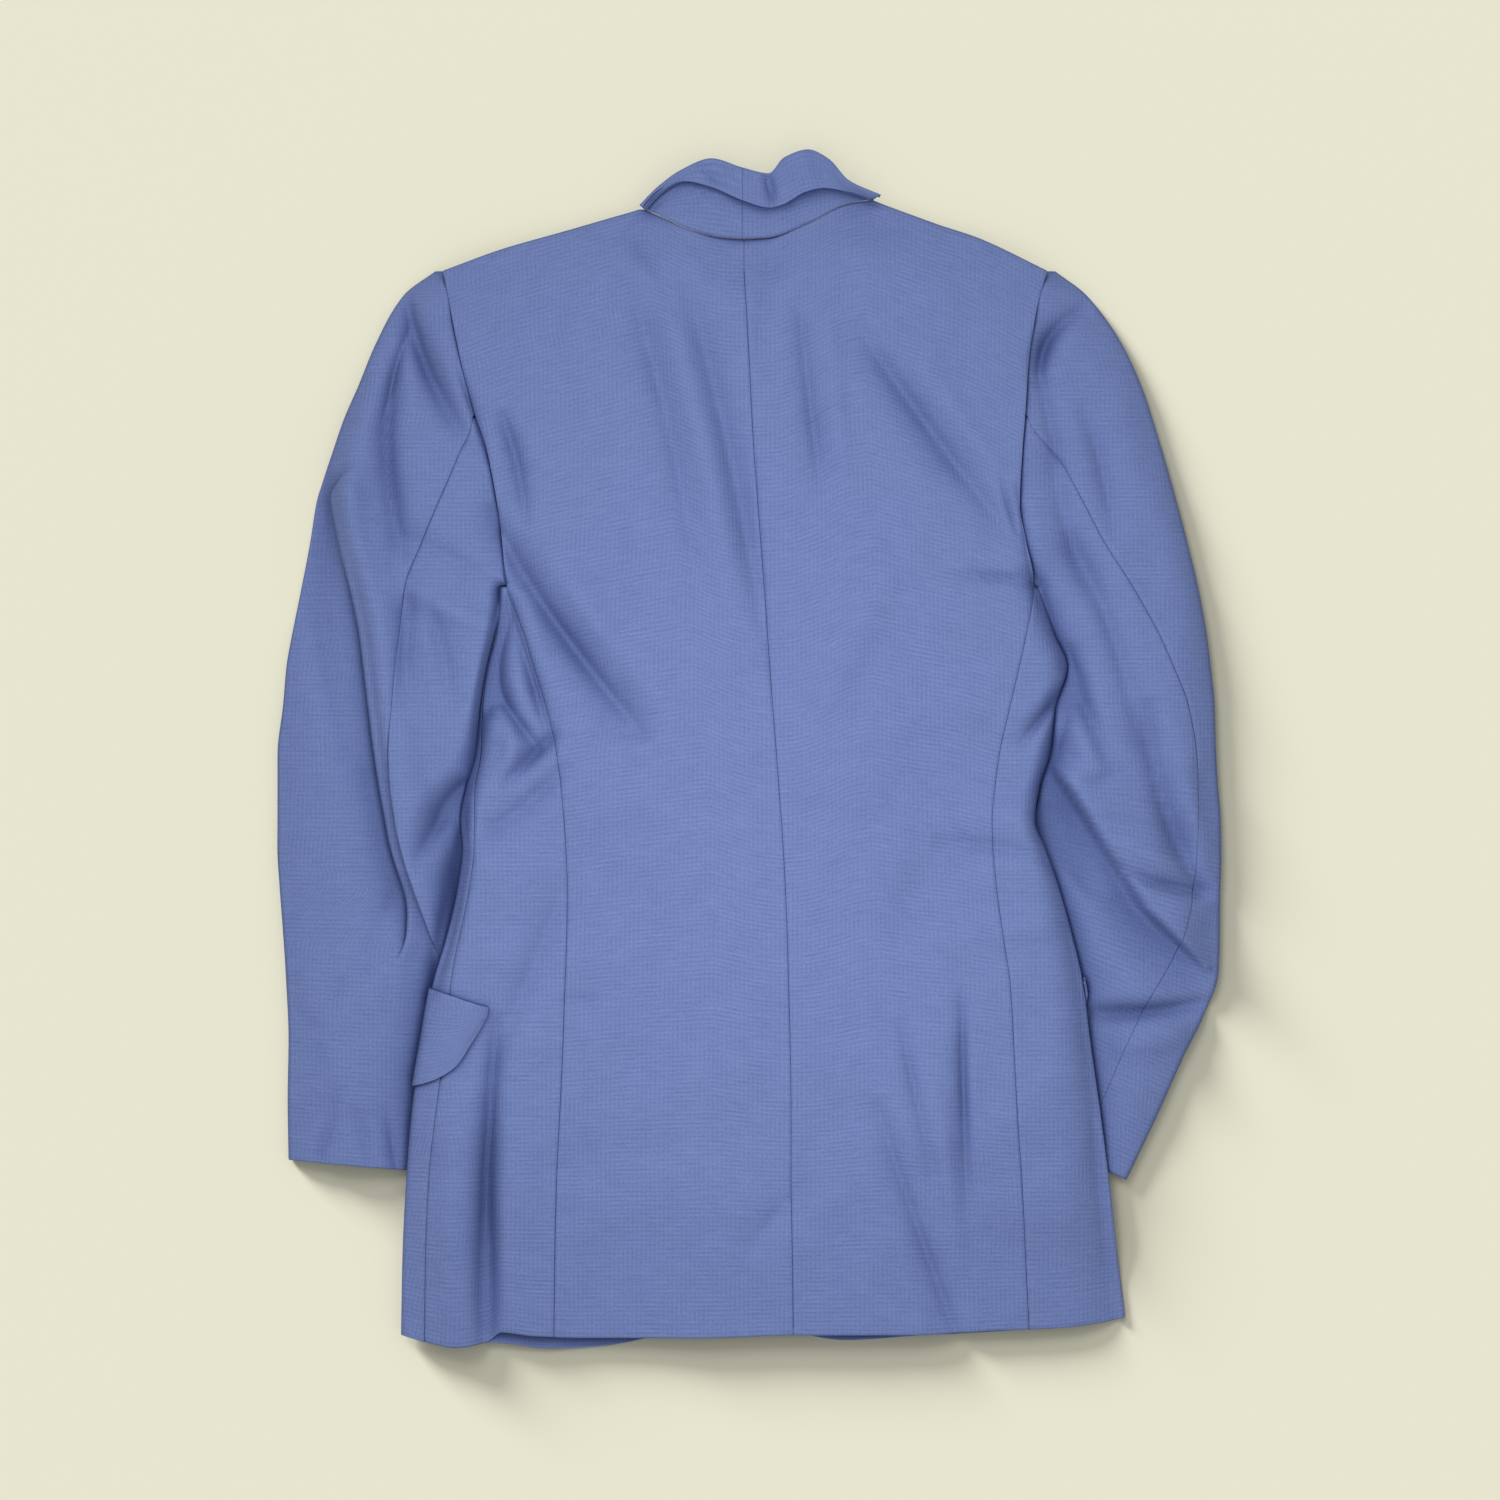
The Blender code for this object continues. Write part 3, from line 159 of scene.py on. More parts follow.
# Hems by x
hemBack = table(
    "x y",
    (-233.8, -391.9), (-210.6, -398.2), (-197.6, -400.4), (-176, -397.4), (-166, -390.4),
    (-145, -392.9), (-110.8, -394.2), (-33.1, -394.2), (29.9, -392.2), (110.3, -392.2),
    (163.2, -389.5), (208.8, -387.5), (236.2, -384.2), (252.3, -380.8),
)
hemFront = {
    "L": table(
        "x y",
        (-233.8, -391.9), (-197.6, -400.9), (-173.8, -397.6), (-131.3, -401.9), (-100.1, -400.3),
        (-64.3, -393.6), (-31, -381), (2, -352), (26, -312), (46, -245),
    ),
    "R": table(
        "x y",
        (10, -290), (15, -358), (33.9, -391.2), (65.4, -396.2), (110.3, -393.4), (187.3, -388.9),
        (252.3, -380.8),
    ),
}
# Collar by its share of the way along the neck: folded upper edge, lower edge of the fall
collarTop = table(
    "share x y",
    (0, -73.5, 364.6), (0.1, -61.2, 376.9), (0.2, -45.2, 388.3), (0.3, -25.7, 395.7),
    (0.42, -4.7, 389.6), (0.53, 13.1, 385.7), (0.59, 23.2, 396.4), (0.68, 39.3, 401.7),
    (0.76, 52.7, 395.7), (0.86, 66.7, 381), (1, 88, 371.4),
)
collarFall = table(
    "share x y",
    (0, -69.5, 362.4), (0.1, -58.5, 373.2), (0.2, -41.8, 380.6), (0.3, -23, 376.3),
    (0.42, -4.7, 367.3), (0.53, 11.8, 362.5), (0.59, 22, 364.5), (0.68, 38, 372.4), (0.76, 52, 375.2),
    (0.86, 68.1, 373), (1, 84, 366.4),
)
# Width of each lapel beside the roll line
lapelWidth = {
    "L": table(
        "level width",
        (52, 8), (120, 34), (200, 58), (262, 72), (290, 60), (322, 34),
    ),
    "R": table(
        "level width",
        (-14, 6), (52, 18), (120, 38), (200, 58), (262, 72), (290, 60), (322, 34),
    ),
}
# Sleeves by level of the outer edge; tilt is how much further the inner end lies along Y. The left
# one has a long fold: where its upper layer ends, how far it has risen and its tuck
sleeveLine = {
    "L": table(
        "level outer inner tilt seam tall fold rise tuck",
        (320.7, -210.9, -205.3, 0, -205.3, 4.3, -207.6, 0, 1.6),
        (304.6, -232.1, -201.8, 0, -201.8, 6.6, -226, 0, 1.6),
        (272.4, -250.5, -195.9, 0, -195.9, 6.6, -244.5, 0, 1.6),
        (243, -262.6, -189.2, 0, -189.2, 6.6, -256.5, 0, 1.6),
        (222, -271.7, -183.4, 0, -185.2, 6.6, -265.5, 0, 1.6),
        (195, -281, -174.6, 0, -195.2, 6.4, -275.8, 0, 1.6),
        (181, -285.8, -171.4, 0, -201, 6.1, -281.6, 0.55, 1.6),
        (167, -290.2, -169.2, 0, -207.2, 5.8, -280.6, 1, 1.8),
        (138, -294.9, -166.2, 0, -219.6, 5.3, -275.2, 1, 4),
        (108.9, -300.5, -163.6, 0, -230.5, 5.2, -267.9, 1, 7),
        (76.8, -306.9, -171.1, 0, -234.1, 5.2, -261.2, 1, 9),
        (56, -310.5, -176.2, 0, -236.6, 5.2, -258.6, 1, 9),
        (30.6, -312.7, -180.4, 0, -238.8, 5.2, -255.5, 1, 9),
        (-3.6, -316.5, -183.9, 0, -241, 5.2, -251.2, 1, 9),
        (-24, -316.5, -189.5, 0, -240, 5.2, -248.2, 1, 9),
        (-44, -316.5, -192.9, 0, -237.4, 5.2, -244.6, 1, 9),
        (-66, -316.6, -190.2, 0, -233, 5.2, -240.4, 1, 9),
        (-92, -315.1, -183.4, -0.8, -225, 5.2, -232.2, 1, 8),
        (-120, -313, -181.4, -2.4, -214.6, 5.4, -221.8, 0.7, 2),
        (-150, -311, -180.7, -4.2, -204, 5.9, -211.6, 0.1, 1.6),
        (-194.6, -309.1, -182, -6.6, -202, 6.3, -209.6, 0, 1.6),
        (-234.8, -309.7, -184.6, -8.8, -203, 6.4, -211, 0, 1.6),
        (-275, -309.1, -188.5, -10.7, -204, 6.4, -212, 0, 1.6),
    ),
    "R": table(
        "level outer inner tilt seam tall",
        (320.7, 205.4, 199.4, 0, 199.4, 4.3), (304.6, 226.2, 194.8, 0, 194.8, 6.6),
        (272.4, 249.5, 188.5, 0, 188.5, 6.6), (243, 263.2, 185.8, 0, 185.8, 6.6),
        (222, 270.2, 184.6, 0, 186.4, 6.6), (195, 278.4, 182.2, 0, 206.8, 6.6),
        (167, 286.3, 181.1, 0, 222.7, 6.6), (138, 293.9, 185.4, 0, 238, 6.6),
        (108.9, 300.8, 191.4, 0, 256.4, 6.6), (76.8, 306.7, 204.9, 0, 274.2, 6.6),
        (56, 309.3, 213.2, 0, 283.4, 6.6), (30.6, 311.9, 205.8, 0, 293.5, 6.6),
        (-3.6, 313, 201.6, 0, 299.5, 6.6), (-24, 314.2, 196, 5, 300.4, 6.6),
        (-47.2, 316, 193.6, 15.4, 300.6, 6.6), (-72.6, 316.4, 188, 25.4, 299.6, 6.6),
        (-100.8, 315.6, 184, 34.9, 297, 6.6), (-127.6, 315.4, 180, 41.6, 292, 6.6),
        (-149.7, 314.6, 174.6, 45.6, 284, 6.6), (-181.8, 303.2, 168.6, 55.6, 268, 6.6),
        (-204.6, 291.8, 161.2, 53.6, 256, 6.6), (-242.1, 275, 150.5, 54.2, 240, 6.6),
        (-288.4, 253, 136.4, 51, 219, 6.6),
    ),
}
elbowFold = table(
    "x y",
    (202.1, -3.6), (226.2, -41.1), (266.4, -104.8), (307.3, -144.3),
)
# Pocket flaps by distance round the side, positive on the upper side
flapEdge = {
    "L": table(
        "turn top bottom",
        (-98, -166, -196), (-92, -158.5, -214), (-60, -157, -224), (-20, -158, -226),
        (0, -159.7, -224.8), (12, -162.8, -221.7), (27, -167.8, -212), (36, -170.6, -194),
        (42.5, -172.2, -178),
    ),
    "R": table(
        "turn top bottom",
        (1, -152.5, -160), (-8, -153, -184), (-22, -154, -205), (-44, -155, -215), (-84, -157, -217),
        (-108, -159, -210), (-114, -166, -190),
    ),
}

# Creases, listed one by one. on: 0 body, 1 sleeves, 3 both, 4 collar; then the height, the half widths
# left and right of the path's direction, and three points of the path
creases = table(
    "on height left right x1 y1 x2 y2 x3 y3",
    # left sleeve cap: two deep valleys, two rises
    (1, -10.5, 6.7, 6.7, -231, 315, -218, 260, -187, 203),
    (1, -10.5, 6.7, 6, -226, 284, -243, 214, -231, 123),
    (1, 3.9, 8.7, 8.7, -247, 253, -266, 187, -268, 100), (1, 2.7, 8, 8, -213, 301, -197, 253, -182, 210),
    # left sleeve above the underarm
    (1, -4.6, 9.4, 12.1, -243, 142, -203, 130, -156, 95), (1, 3.6, 8, 8, -243, 118, -207, 96, -163, 81),
    (1, -3.5, 9.4, 9.4, -235, 127, -231, 73, -226, 13), (1, -4.2, 8.7, 8.7, -219, 107, -205, 63, -199, 17),
    # round the left armhole, and the long drag from there across the back
    (3, -6.8, 5.4, 6, -168, 229, -156, 193, -149, 148), (3, -12.8, 9.4, 10.7, -175, 167, -140, 100, -67, 5),
    (0, 3, 10.7, 10.7, -140, 154, -107, 94, -46, 20), (3, -3.8, 4, 4, -197, 261, -185, 226, -172, 187),
    # between the left sleeve and the body
    (0, -9.8, 10.1, 6.7, -160, 107, -168, 67, -176, 18), (0, -9.3, 6.7, 6.7, -179, 55, -162, 28, -138, -4),
    (0, -8.2, 5.4, 5.4, -178, 49, -186, -2, -197, -51), (1, -11.2, 8, 8, -187, -20, -207, -46, -225, -82),
    (3, -7.5, 6, 5.4, -190, -34, -199, -101, -214, -174),
    # left side panel and hip, two nicks beside the seam
    (0, -7.5, 6, 6.7, -162, 100, -147, 52, -130, -7), (0, -6.9, 5.4, 5.4, -126, 14, -147, -6, -167, -26),
    (0, -5.4, 8, 8, -120, -8, -151, -38, -185, -62), (0, 3.3, 6.7, 6.7, -164, 31, -158, 5, -168, -24),
    (0, -4.8, 12.1, 12.1, -120, -81, -142, -138, -175, -221),
    (0, -1.6, 3.4, 3.4, -130, -170, -113, -167, -92, -169), (0, -1.6, 3.4, 3.4, -109, 9, -85, 11, -55, 8),
    # beside the cuff beneath: a deep valley and a roll
    (0, -13.5, 6, 6, -168, -174, -176, -302, -174, -436),
    (0, 5.1, 11.4, 11.4, -195, -215, -199, -308, -197, -436),
    # upper back, either side of the centre seam
    (0, -5.1, 10.7, 9.4, -85, 321, -55, 221, -33, 87), (0, 3.6, 10.1, 10.1, -65, 321, -34, 221, -9, 87),
    (0, -6.3, 13.4, 9.4, -49, 327, -17, 214, 23, 6), (0, -4.2, 12.1, 12.1, -80, 353, -65, 325, -45, 284),
    (0, -2.6, 6, 6, 18, 335, 10, 301, 7, 253), (0, -4.8, 5.4, 6.7, 33, 304, 39, 246, 49, 167),
    (0, 2.1, 6.7, 6.7, 51, 301, 58, 234, 67, 154),
    # drag to the right underarm, and short ones there
    (0, -8.4, 9.4, 11.4, 69, 288, 124, 210, 187, 127), (0, 2.7, 10.1, 10.1, 101, 274, 148, 214, 179, 167),
    (3, -3.2, 2.7, 2.7, 168, 185, 173, 164, 181, 140), (3, -3.5, 4, 4, 128, 116, 168, 115, 200, 110),
    # right waist and hip
    (0, -4.5, 8, 6.7, 121, -62, 168, -66, 216, -77), (0, -2.1, 8, 8, 21, -36, 61, -42, 101, -46),
    (0, 3.6, 10.1, 10.1, 101, -129, 161, -122, 228, -113),
    # skirt, most of them upright
    (0, -4.8, 3.4, 4.7, 142, -154, 143, -228, 146, -310),
    (0, -3.5, 5.4, 5.4, 100, -178, 111, -231, 125, -295), (0, -5.4, 6, 8, 83, -231, 111, -315, 148, -417),
    (0, 2.4, 7.4, 7.4, 124, -201, 131, -275, 144, -362), (0, -2.6, 8.7, 8.7, -4, -342, 16, -314, 41, -286),
    (0, -4.2, 29.5, 22.8, 228, -221, 239, -322, 255, -436),
    # down the right side
    (0, -3.8, 12.1, 10.7, 195, -38, 217, -132, 228, -232),
    (0, -4.8, 13.4, 13.4, 224, -181, 239, -295, 256, -436),
    # right sleeve cap and back seam
    (3, -9.8, 6.7, 6.7, 195, 240, 201, 276, 230, 296), (1, -5.4, 7.4, 7.4, 196, 250, 201, 218, 211, 179),
    (1, -6, 12.1, 12.1, 201, 207, 211, 154, 231, 92), (1, -4.8, 9.4, 9.4, 222, 234, 236, 187, 246, 132),
    # down to the right elbow
    (1, -8.1, 10.1, 10.1, 213, 147, 242, 80, 264, -4), (1, -9, 6.7, 7.4, 267, 35, 275, -28, 305, -103),
    (1, 2.7, 6.7, 6.7, 287, 25, 295, -27, 307, -74),
    # right underarm and its branches
    (3, -4.2, 4, 4, 179, 182, 185, 137, 196, 92), (3, -3.8, 5.4, 6.7, 185, 127, 201, 85, 219, 40),
    (1, -6.6, 8, 8, 215, 73, 213, 33, 203, -10), (0, -6.6, 4.7, 4.7, 215, 41, 199, 25, 180, 2),
    (1, -8.1, 5.4, 5.4, 212, 57, 226, 25, 242, -14), (1, -4.2, 5.4, 5.4, 215, 4, 230, -20, 251, -8),
    # right elbow and forearm
    (1, -6.3, 4.7, 4.7, 243, -74, 275, -90, 315, -95), (1, 2.7, 6, 6, 248, -59, 275, -73, 309, -78),
    (1, -9.8, 5.4, 6, 222, -177, 268, -175, 315, -168), (1, 3, 8, 8, 242, -199, 268, -196, 295, -191),
    (1, -11.2, 12.1, 12.1, 199, 1, 208, -54, 235, -101),
    # left sleeve seam, cuff, strip outside the long fold, forearm
    (1, -2.9, 6.7, 6.7, -226, 127, -231, 67, -239, 0), (1, -3.2, 4, 4, -292, -283, -284, -260, -276, -232),
    (1, -2.4, 4.7, 4.7, -253, -286, -256, -267, -264, -239),
    (1, -2.4, 4.7, 4.7, -235, -290, -239, -268, -243, -237),
    (1, -9.8, 16.1, 16.1, -296, 187, -288, 100, -266, -14),
    (1, -2.6, 8, 8, -233, -81, -250, -125, -277, -168),
    (1, 1.8, 9.4, 9.4, -301, -141, -281, -195, -266, -248),
    # collar fall
    (4, -4.2, 3.4, 3.4, 11, 391, 14, 376, 18, 359), (4, -2.2, 4, 4, -33, 395, -25, 384, -13, 374),
    (4, 1.8, 5.4, 5.4, 34, 402, 38, 387, 42, 371), (4, 1.5, 5.4, 5.4, -57, 383, -40, 388, -18, 390),
)


def smooth(knots, values, at):
    # cubic through the knots whose tangents are harmonic means of the slopes, so it never overshoots
    knots, values, at = (np.asarray(a, float) for a in (knots, values, at))
    if knots[0] > knots[-1]:
        knots, values = knots[::-1], values[::-1]
    step = np.diff(knots)
    slope = np.diff(values) / step
    tangent = np.concatenate([slope[:1], np.zeros(len(slope) - 1), slope[-1:]])
    product = slope[:-1] * slope[1:]
    alike = product > 0
    tangent[1:-1][alike] = 2 * product[alike] / (slope[:-1] + slope[1:])[alike]
    i = np.clip(np.searchsorted(knots, at) - 1, 0, len(step) - 1)
    t = np.clip((at - knots[i]) / step[i], 0, 1)
    start = (2 * t**3 - 3 * t**2 + 1) * values[i] + (t**3 - 2 * t**2 + t) * step[i] * tangent[i]
    end = (3 * t**2 - 2 * t**3) * values[i + 1] + (t**3 - t**2) * step[i] * tangent[i + 1]
    return start + end


def column(rows, name, at, key="level"):
    # a column of a table at any level, read smoothly between the rows
    return smooth(rows[key], rows[name], at)


def ramp(value, start, end):
    # 3t^2 - 2t^3 of the share t of the way from start to end
    t = np.clip((np.asarray(value, float) - start) / (end - start), 0, 1)
    return t * t * (3 - 2 * t)


def bell(value, spread):
    # e to the minus square of value over spread
    return np.exp(-(value / spread) ** 2)


def ridge(away, height, place, width):
    # a rise, or a groove where the height is below 0, along a line at a distance from an edge
    return height * bell(away - place, width)


def between(low, share):
    # a factor that goes from low to 1 as the share goes from 0 to 1
    return low + (1 - low) * share


def isAbove(y, level):
    # whether a row lies above a level that has a row of its own
    return y > level + 0.01


def bulge(away, width):
    # steep at an edge and level past the width: 1 - (1 - t)^2.3 of the share t of the width
    return 1 - (1 - np.clip(away / width, 0, 1)) ** 2.3


def along(edge, shares):
    # points at shares of the length of a polyline of x and y
    x, y = edge["x"], edge["y"]
    length = np.concatenate([[0], np.cumsum(np.hypot(np.diff(x), np.diff(y)))])
    at = np.asarray(shares) * length[-1]
    return np.stack([smooth(length, x, at), smooth(length, y, at)], axis=-1)


def nearest(x, y, px, py):
    # distance from a polyline, positive on the left of its direction, and the share along it
    best = np.full(np.shape(x), np.inf)
    signed = np.zeros(np.shape(x))
    share = np.zeros(np.shape(x))
    pieces = len(px) - 1
    for k in range(pieces):
        dx, dy = px[k + 1] - px[k], py[k + 1] - py[k]
        t = np.clip(((x - px[k]) * dx + (y - py[k]) * dy) / (dx * dx + dy * dy), 0, 1)
        away = np.hypot(x - px[k] - t * dx, y - py[k] - t * dy)
        side = np.where(dx * (y - py[k]) - dy * (x - px[k]) < 0, -1.0, 1.0)
        closer = away < best
        signed = np.where(closer, away * side, signed)
        share = np.where(closer, (k + t) / pieces, share)
        best = np.where(closer, away, best)
    return signed, share


def creaseHeight(x, y, on):
    # each crease: height times a profile of the distance over the half width of that side, less a
    # low lip beyond it, times (1 - (2s - 1)^2)^0.8 for the share s along, times a slow sine in s.
    # Rises have a bell for profile, valleys e to the minus 1.3 of a rounded distance, so they are sharp
    total = np.zeros(np.shape(x))
    t = np.linspace(0, 1, 13)
    start, middle, end = (1 - t) * (1 - 2 * t), 4 * t * (1 - t), t * (2 * t - 1)
    for number, row in enumerate(zip(*creases.values())):
        kind, height, left, right, x1, y1, x2, y2, x3, y3 = row
        if kind != on and not (kind == 3 and on < 2):
            continue
        px = start * x1 + middle * x2 + end * x3
        py = start * y1 + middle * y2 + end * y3
        reach = 3.2 * max(left, right)
        near = ((x > px.min() - reach) & (x < px.max() + reach)
                & (y > py.min() - reach) & (y < py.max() + reach))
        if not near.any():
            continue
        away, share = nearest(x[near], y[near], px, py)
        across = np.abs(away) / np.where(away > 0, left, right)
        taper = (1 - (2 * share - 1) ** 2) ** 0.8
        uneven = 1 + 0.16 * np.sin(6.5 * share + 1.7 * number)
        valley = np.exp(1.3 * (0.25 - np.sqrt(across**2 + 0.0625)))
        profile = (bell(across, 1) if height > 0 else valley) - 0.06 * bell(across - 2.1, 0.8)
        total[near] += height * taper * uneven * profile
    return total


def drape(x, y):
    # slow unevenness of laid cloth: sines of six directions and wavelengths from 31 to 120 mm
    total = np.zeros(np.shape(x))
    for turn, wave, height in ((0.3, 120, 0.55), (1.2, 83, 0.40), (2.1, 61, 0.30),
                               (2.7, 47, 0.20), (0.8, 38, 0.13), (1.7, 31, 0.10)):
        at = x * math.cos(turn) + y * math.sin(turn)
        across = y * math.cos(turn) - x * math.sin(turn)
        total += height * np.sin(at * 2 * math.pi / wave + 1.3 * np.sin(across / wave * 2.3 + turn))
    return total


def seamLine(away, at):
    # groove of a seam: a narrow bell down, low lips beside it, and a ripple along it that dies out
    ripple = np.sin(at * 0.55 + 1.8 * np.sin(at * 0.061)) * bell(away, 5.5)
    return -0.4 * bell(away, 0.9) + 0.2 * bell(np.abs(away) - 3.2, 2.0) + 0.16 * ripple


# Where what lies beneath raises the cloth: the start and the end of each soft slope
slopes = {"forearm": (72, 14), "cuff": (78, 20), "flapLow": (-290, -244), "flapHigh": (-112, -146),
          "flapL": (158, 112), "flapR": (176, 130), "lapelLow": (-54, -22), "lapelHigh": (34, 14),
          "lapel": (46, 22), "buttonLow": (-255, -195), "buttonHigh": (60, 0), "button": (100, 38),
          "overlap": (-76, -30), "overlapHigh": (118, 84), "closed": (160, 100), "middle": (125, 65)}
raised = {"flap": 2.8, "button": 2.7}


def lift(x, y):
    # height at which the forearms hold the body: flat over them, a soft slope beside them
    besideL = x - column(forearmLine["L"], "inner", y)
    besideR = column(forearmLine["R"], "inner", y) - x
    (x1, y1), (x2, y2) = cuffR
    below = ((x - x1) * (y2 - y1) - (y - y1) * (x2 - x1)) / math.hypot(x2 - x1, y2 - y1)
    left = column(bodyLines, "liftL", y) * ramp(besideL, *slopes["forearm"])
    right = column(bodyLines, "liftR", y) * ramp(besideR, *slopes["forearm"])
    return left + right * ramp(below, *slopes["cuff"])


def flapPad(x, y):
    # height that the pocket flaps, lying under the fronts, add
    rows = ramp(y, *slopes["flapLow"]) * ramp(y, *slopes["flapHigh"])
    left = ramp(x - column(bodyLines, "sideL", y), *slopes["flapL"])
    right = ramp(column(bodyLines, "sideR", y) - x, *slopes["flapR"])
    return raised["flap"] * rows * (left + right)


def rollLine(side, y):
    # x of a front's inner edge: down the roll line to the break, then down the front edge
    centre = column(bodyLines, "centre", y)
    atBreak = float(column(bodyLines, "centre", breakLevel))
    line, end = shoulderLine[side], -1 if side == "L" else 0
    breakX = atBreak + inward[side] * overlap
    below = np.where(y < breakLevel, centre - atBreak, 0)
    return smooth([breakLevel, line["y"][end]], [breakX, line["x"][end]], y) + below


def lapelPad(side, x, y):
    # height that a lapel, lying under its front, adds
    rows = lapelWidth[side]
    low, high = rows["level"][0], rows["level"][-1]
    inside = ramp(y - low, *slopes["lapelLow"]) * ramp(y - high, *slopes["lapelHigh"])
    beyond = inward[side] * (rollLine(side, y) - x) - column(rows, "width", y)
    return layer * inside * ramp(beyond, *slopes["lapel"])


def buttonPad(x, y):
    # height that the two buttons, lying under the closed fronts, add to the band round them
    away = np.abs(x - column(bodyLines, "centre", y))
    rows = ramp(y, *slopes["buttonLow"]) * ramp(y, *slopes["buttonHigh"])
    return raised["button"] * rows * ramp(away, *slopes["button"])


def underFace(side, x, y):
    # height of the fronts' outer face, the one that looks at the floor
    low = lift(x, y) + flapPad(x, y)
    right = np.maximum(lapelPad("R", x, y), buttonPad(x, y))
    if side == "R":
        return low + right
    over = ramp(x - rollLine("R", y), *slopes["overlap"]) * ramp(y, *slopes["overlapHigh"])
    return low + np.maximum(lapelPad("L", x, y), over * (layer + closureGap + right))


def plainTop(x, y):
    # height of the upper side before its creases: the laid tube and what lies beneath it
    right = np.maximum(lapelPad("R", x, y), buttonPad(x, y))
    closed = (closureGap + right) * ramp(y, *slopes["closed"])
    beside = np.abs(x - column(bodyLines, "centre", y))
    middle = (layer + closed) * ramp(beside, *slopes["middle"])
    chest = np.maximum(np.maximum(middle, right), lapelPad("L", x, y))
    return laid + lift(x, y) + flapPad(x, y) + chest


def keptAbove(height, lowest):
    # soft maximum of height and lowest: half of their sum and of the root of their difference squared
    return 0.5 * (height + lowest + np.sqrt((height - lowest) ** 2 + 0.5))


relief = {"puff": 9.0, "top": 40.0, "hem": 110.0, "deepest": -4.0,
          "atTop": 0.35, "atHem": 0.3, "atEdge": 0.25}
# Widths by level over which the cloth comes down: the body's and each sleeve's towards each other,
# and the sleeves' towards their outer edges; then each sleeve's own fullness
rolls = table(
    "level bodyL sleeveL bodyR sleeveR outerL outerR puffL puffR",
    (320, 60, 50, 50, 50, 34, 34, 7, 7), (200, 60, 46, 50, 50, 24, 26, 10, 9),
    (110, 38, 8, 26, 50, 44, 22, 11, 10), (45, 34, 7, 16, 44, 46, 30, 12, 11),
    (10, 28, 11, 12, 36, 46, 38, 12, 11), (-20, 20, 22, 12, 30, 46, 44, 11, 12),
    (-50, 15, 44, 12, 28, 46, 48, 10, 12),
    (-80, 16, 54, 14, 32, 46, 50, 9, 12), (-160, 22, 50, 26, 40, 44, 48, 7, 9),
    (-300, 30, 46, 34, 46, 40, 38, 6, 7), (-390, 32, 46, 38, 46, 40, 38, 6, 7),
)
seamSpots = np.linspace(shoulderLevel, hemLevel, 44)
sideSpots = np.linspace(underarmLevel, hemLevel, 34)


def bodyRelief(x, y, seams=True):
    # fullness that dies out towards the edges, slow unevenness, creases, and the seams' grooves
    edge = np.ones(np.shape(x))
    for name in ("sideL", "sideR"):
        away, _ = nearest(x, y, column(bodyLines, name, sideSpots), sideSpots)
        edge = edge * bulge(np.abs(away), column(rolls, "body" + name[-1], y))
    for line in (*shoulderLine.values(), *neckLine.values()):
        away, _ = nearest(x, y, line["x"], line["y"])
        edge = edge * between(relief["atTop"], ramp(np.abs(away), 0, relief["top"]))
    edge = edge * between(relief["atHem"], ramp(y, hemLevel, hemLevel + relief["hem"]))
    total = relief["puff"] * edge + drape(x, y) * between(relief["atEdge"], edge)
    total = total + creaseHeight(x, y, 0)
    total = keptAbove(total, relief["deepest"])
    if not seams:
        return total
    for name in ("seamL", "centre", "seamR"):
        away, _ = nearest(x, y, column(bodyLines, name, seamSpots), seamSpots)
        total = total + seamLine(away, y)
    atSeam = column(bodyLines, "sideL", y) + column(bodyLines, "turnL", y) - 1.6
    wraps = ramp(column(bodyLines, "turnL", y), 4, 8)
    return total + wraps * seamLine(x - atSeam, y) * (y < underarmLevel)


def topFace(x, y, seams=True):
    # height of the body's upper side: the plain one and its relief
    return plainTop(x, y) + bodyRelief(x, y, seams)


def rounded(angle, tall, lean):
    # height round an edge: tall times the sine below, and above a quarter of an ellipse that meets
    # the face at the face's own slope, (tall - lean) sin + lean (1 - cos)
    lean = np.clip(lean, 0, 0.75 * tall)
    above = (tall - lean) * np.sin(angle) + lean * (1 - np.cos(angle))
    return np.where(angle > 0, above, tall * np.sin(angle))


def tubePoint(side, level, turn, seams=True):
    # point of the body's tube at a distance of cloth round its side: half an ellipse from the
    # floor side up, 3.3 wide, and then the two faces; positive turns lie on the upper side
    inwards = inward[side]
    level, turn = np.broadcast_arrays(np.asarray(level, float), np.asarray(turn, float))
    edge = column(bodyLines, "side" + side, level) + inwards * gap
    half = laid / 2
    under = underFace(side, edge, level)
    upper = topFace(edge + inwards * half, level, seams)
    middle = under + np.maximum(0.5 * (upper - under), 1.7)
    angle = np.clip(turn / half, -math.pi / 2, math.pi / 2)
    flat = np.maximum(np.abs(turn) - arc, 0)
    x = edge + inwards * (half * (1 - np.cos(angle)) + flat)
    tall = np.where(turn > 0, np.maximum(upper - middle, 1.7), middle - under)
    slope = topFace(edge + inwards * (half + 1), level, seams) - upper
    z = middle + rounded(angle, tall, slope * half)
    z = np.where((flat > 0) & (turn > 0), topFace(x, level, seams), z)
    return x, np.where((flat > 0) & (turn < 0), underFace(side, x, level), z)


def turnAt(side, level, x):
    # distance round the side of a place on a face: the arc, and the flat run past it
    edge = column(bodyLines, "side" + side, level)
    return np.abs(x - edge) + arc - laid / 2 - gap


def followHem(x, level, hem):
    # the level, moved by the hem's own line: not at all at hemStart, wholly at the hem
    return level + ramp(level, hemStart, hemLevel) * (column(hem, "y", x, "x") - hemLevel)


